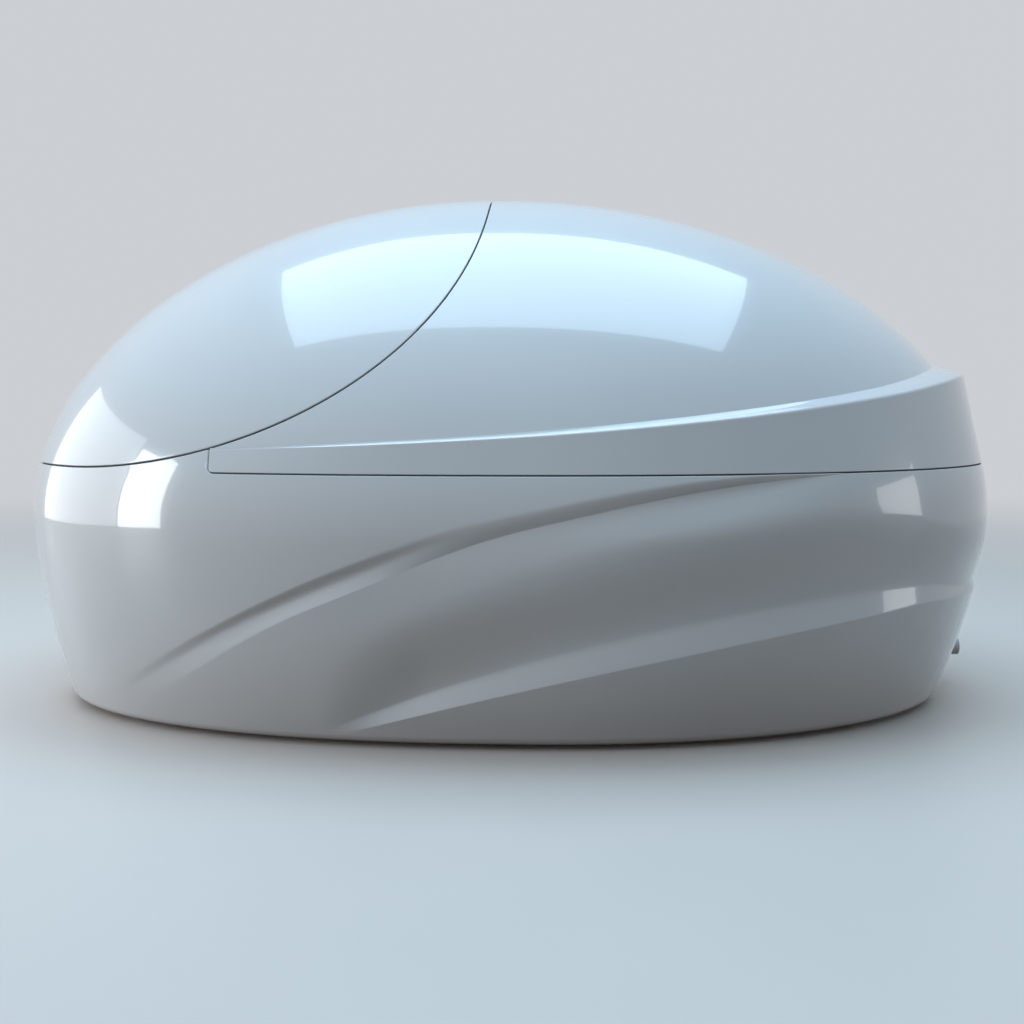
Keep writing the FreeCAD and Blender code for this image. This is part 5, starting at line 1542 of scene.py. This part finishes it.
@dataclass
class Studio:
    """Camera, pale floor and soft light."""

    frame_px: float = 1024.0
    focal_px: float = 1123.0
    eye: Triple = (0.0955, -3.1387, 0.7836)
    horizon_px: float = 403.88
    vanishing_px: float = 545.0
    floor_radius: float = 60.0
    floor_corners: int = 96
    sensor_mm: float = 36.0
    melt_from: float = 2.2
    melt_to: float = 8.0
    floor_colour: Triple = (0.84, 0.75, 0.70)
    floor_bounce: Triple = (0.12, 0.09, 0.07)
    backdrop: Triple = (0.60, 0.62, 0.65)
    sky: Triple = (0.49, 0.75, 0.915)
    haze: Triple = (0.11, 0.07, 0.055)
    sky_range: Span = (0.25, 1.0)
    boxes: tuple[SoftBox, ...] = (
        SoftBox("overhead_box", (0.0, -0.08, 4.0), (0.0, -0.08, 0.0), (4.15, 2.30), 91.0,
                (0.55, 0.78, 0.99)),
        SoftBox("foot_window", (-6.0, -2.80, 1.59), (0.0, -2.80, 1.59), (1.55, 3.12), 115.0,
                (0.93, 0.97, 1.0)),
        SoftBox("foot_fill", (-6.2, 0.30, 1.81), (0.0, 0.30, 1.81), (4.60, 3.58), 90.0,
                (0.94, 0.97, 1.0)),
        SoftBox("head_window", (6.0, -1.45, 1.10), (0.0, -1.45, 1.10), (1.50, 1.40), 12.0),
    )

    def set_camera(self) -> None:
        """Stand the camera where it sees the pod's long side and a little of its top."""
        half = 0.5 * self.frame_px
        pitch = math.atan((half - self.horizon_px) / self.focal_px)
        yaw = math.atan2((self.vanishing_px - half) * math.cos(pitch), self.focal_px)
        forward = Vector((
            -math.sin(yaw) * math.cos(pitch), math.cos(yaw) * math.cos(pitch), -math.sin(pitch)
        ))
        right = forward.cross(Vector((0.0, 0.0, 1.0))).normalized()
        turn = Matrix((right, right.cross(forward), -forward)).transposed()
        data = bpy.data.cameras.new("camera")
        data.sensor_fit = "HORIZONTAL"
        data.sensor_width = self.sensor_mm
        data.lens = self.sensor_mm * self.focal_px / self.frame_px
        data.clip_end = 200.0
        camera = bpy.data.objects.new("camera", data)
        camera.matrix_world = Matrix.Translation(self.eye) @ turn.to_4x4()
        bpy.context.scene.collection.objects.link(camera)
        bpy.context.scene.camera = camera

    def lay_floor(self) -> None:
        """Lay a plain pale floor."""
        mesh = bpy.data.meshes.new("floor")
        count = self.floor_corners
        turns = np.linspace(0.0, 2.0 * math.pi, count + 1)[:-1]
        rim = np.stack([np.cos(turns), np.sin(turns), 0.0 * turns], axis=-1) * self.floor_radius
        points = np.concatenate([rim, np.zeros((1, 3))])
        faces = [(index, (index + 1) % count, count) for index in range(count)]
        mesh.from_pydata(points.tolist(), [], faces)
        floor = bpy.data.objects.new("floor", mesh)
        finish = Finish("pale_floor", self.floor_colour, 0.42, Grain.CAST, mottle=0.015,
                        mottle_scale=0.6, bump=0.02, grain_scale=120.0)
        mesh.materials.append(finish.material())
        self._dim_the_bounce(mesh.materials[0].node_tree)
        self._melt_into_backdrop(mesh.materials[0].node_tree)
        bpy.context.scene.collection.objects.link(floor)
        floor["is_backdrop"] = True

    def _seen_rays(self, tree: Tree) -> Socket:
        """1 for rays that look at the backdrop straight, in a gloss or through glass.

        Args:
            tree: the nodes that it works on.

        Returns:
            The socket that gives 1 or 0.
        """
        path = add_node(tree, "LightPath")
        seen = path.outputs["Is Camera Ray"]
        for name in ("Is Glossy Ray", "Is Transmission Ray"):
            rays = {0: seen, 1: path.outputs[name]}
            seen = add_node(tree, "Math", links=rays, operation="MAXIMUM").outputs[0]
        return seen

    def _dim_the_bounce(self, tree: Tree) -> None:
        """Let the floor throw less light back than its pale colour would.

        Args:
            tree: the nodes that it works on.
        """
        shader = tree.nodes["Principled BSDF"]
        pale = shader.inputs["Base Color"].links[0].from_socket
        dark = {MIX_COLOUR_A: (*self.floor_bounce, 1.0)}
        links = {"Factor": self._seen_rays(tree), MIX_COLOUR_B: pale}
        mix = add_node(tree, "Mix", dark, links, data_type="RGBA")
        tree.links.new(mix.outputs[MIX_COLOUR_RESULT], shader.inputs["Base Color"])

    def _melt_into_backdrop(self, tree: Tree) -> None:
        """Let the far floor run into the backdrop with no horizon.

        Args:
            tree: the nodes that it works on.
        """
        spot = add_node(tree, "NewGeometry").outputs["Position"]
        reach = add_node(tree, "VectorMath", links={0: spot}, operation="LENGTH")
        limits = {"From Min": self.melt_from, "From Max": self.melt_to}
        share = add_node(tree, "MapRange", limits, {"Value": reach.outputs["Value"]},
                         interpolation_type="SMOOTHSTEP")
        parts = {0: share.outputs[0], 1: self._seen_rays(tree)}
        factor = add_node(tree, "Math", links=parts, operation="MULTIPLY")
        glow = add_node(tree, "Emission", {"Color": (*self.backdrop, 1.0)})
        self._mix_shaders(tree, factor, tree.nodes["Principled BSDF"], glow, "Material Output")

    def _mix_shaders(
        self,
        tree: Tree,
        factor: Node,
        first: Node,
        second: Node,
        output: str,
    ) -> None:
        """Mix two shaders into an output.

        Args:
            tree: the nodes.
            factor: the node that gives the second shader's share.
            first: the shader at share 0.
            second: the shader at share 1.
            output: name of the output node.
        """
        links = {0: factor.outputs[0], 1: first.outputs[0], 2: second.outputs[0]}
        mix = add_node(tree, "MixShader", links=links)
        tree.links.new(mix.outputs[0], tree.nodes[output].inputs["Surface"])

    def _grade_sky(self, tree: Tree, background: Node) -> None:
        """Let the ambient light come more from above than from the sides.

        Args:
            tree: the nodes that it works on.
            background: the node that gives the ambient light.
        """
        place = add_node(tree, "TexCoord").outputs["Generated"]
        parts = add_node(tree, "SeparateXYZ", links={0: place})
        limits = dict(zip(("From Min", "From Max"), self.sky_range))
        share = add_node(tree, "MapRange", limits, {"Value": parts.outputs["Z"]})
        ramp = add_node(tree, "ValToRGB", links={0: share.outputs[0]})
        for element, colour in zip(ramp.color_ramp.elements, (self.haze, self.sky)):
            element.color = (*colour, 1.0)
        tree.links.new(ramp.outputs[0], background.inputs["Color"])

    def light(self) -> None:
        """Light the pod softly from above and from both ends."""
        world = bpy.data.worlds.new("studio")
        bpy.context.scene.world = world
        world.use_nodes = True
        tree = world.node_tree
        dim = tree.nodes["Background"]
        self._grade_sky(tree, dim)
        plain = add_node(tree, "Background", {"Color": (*self.backdrop, 1.0)})
        seen = self._seen_rays(tree).node
        self._mix_shaders(tree, seen, dim, plain, "World Output")
        for soft_box in self.boxes:
            soft_box.hang()

    def make(self) -> None:
        """Set camera, floor and light."""
        bpy.context.scene.view_settings.view_transform = "Standard"
        self.set_camera()
        self.lay_floor()
        self.light()


def corners(bounds: Sequence[Sequence[float]]) -> list[list[float]]:
    """A box's two corners as plain lists."""
    return [[float(part) for part in corner] for corner in bounds]


def main(frame: dict, card: FinishCard) -> None:
    """Build every sub-assembly in order.

    Args:
        card: the finishes.
    """
    nodes = frame["nodes"]
    pod = PodEnvelope()
    seam = DoorSeam(pod)
    Studio().make()
    for assembly in (
        TubCasing(card, nodes, pod, seam),
        Canopy(card, nodes, pod, seam),
        LiftingDoor(card, nodes, pod, seam),
        LiftGear(card, nodes),
        Pool(card, nodes),
        EquipmentBay(card, nodes),
    ):
        assembly.make()
        LOG.info("%s is done", type(assembly).__name__)


if __name__ == "__main__":
    logging.basicConfig(level=logging.INFO)
    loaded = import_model()
    cad_box = corners(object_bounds())
    main(loaded, FinishCard())
    json.dumps({"cad": cad_box, "visual": corners(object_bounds())})
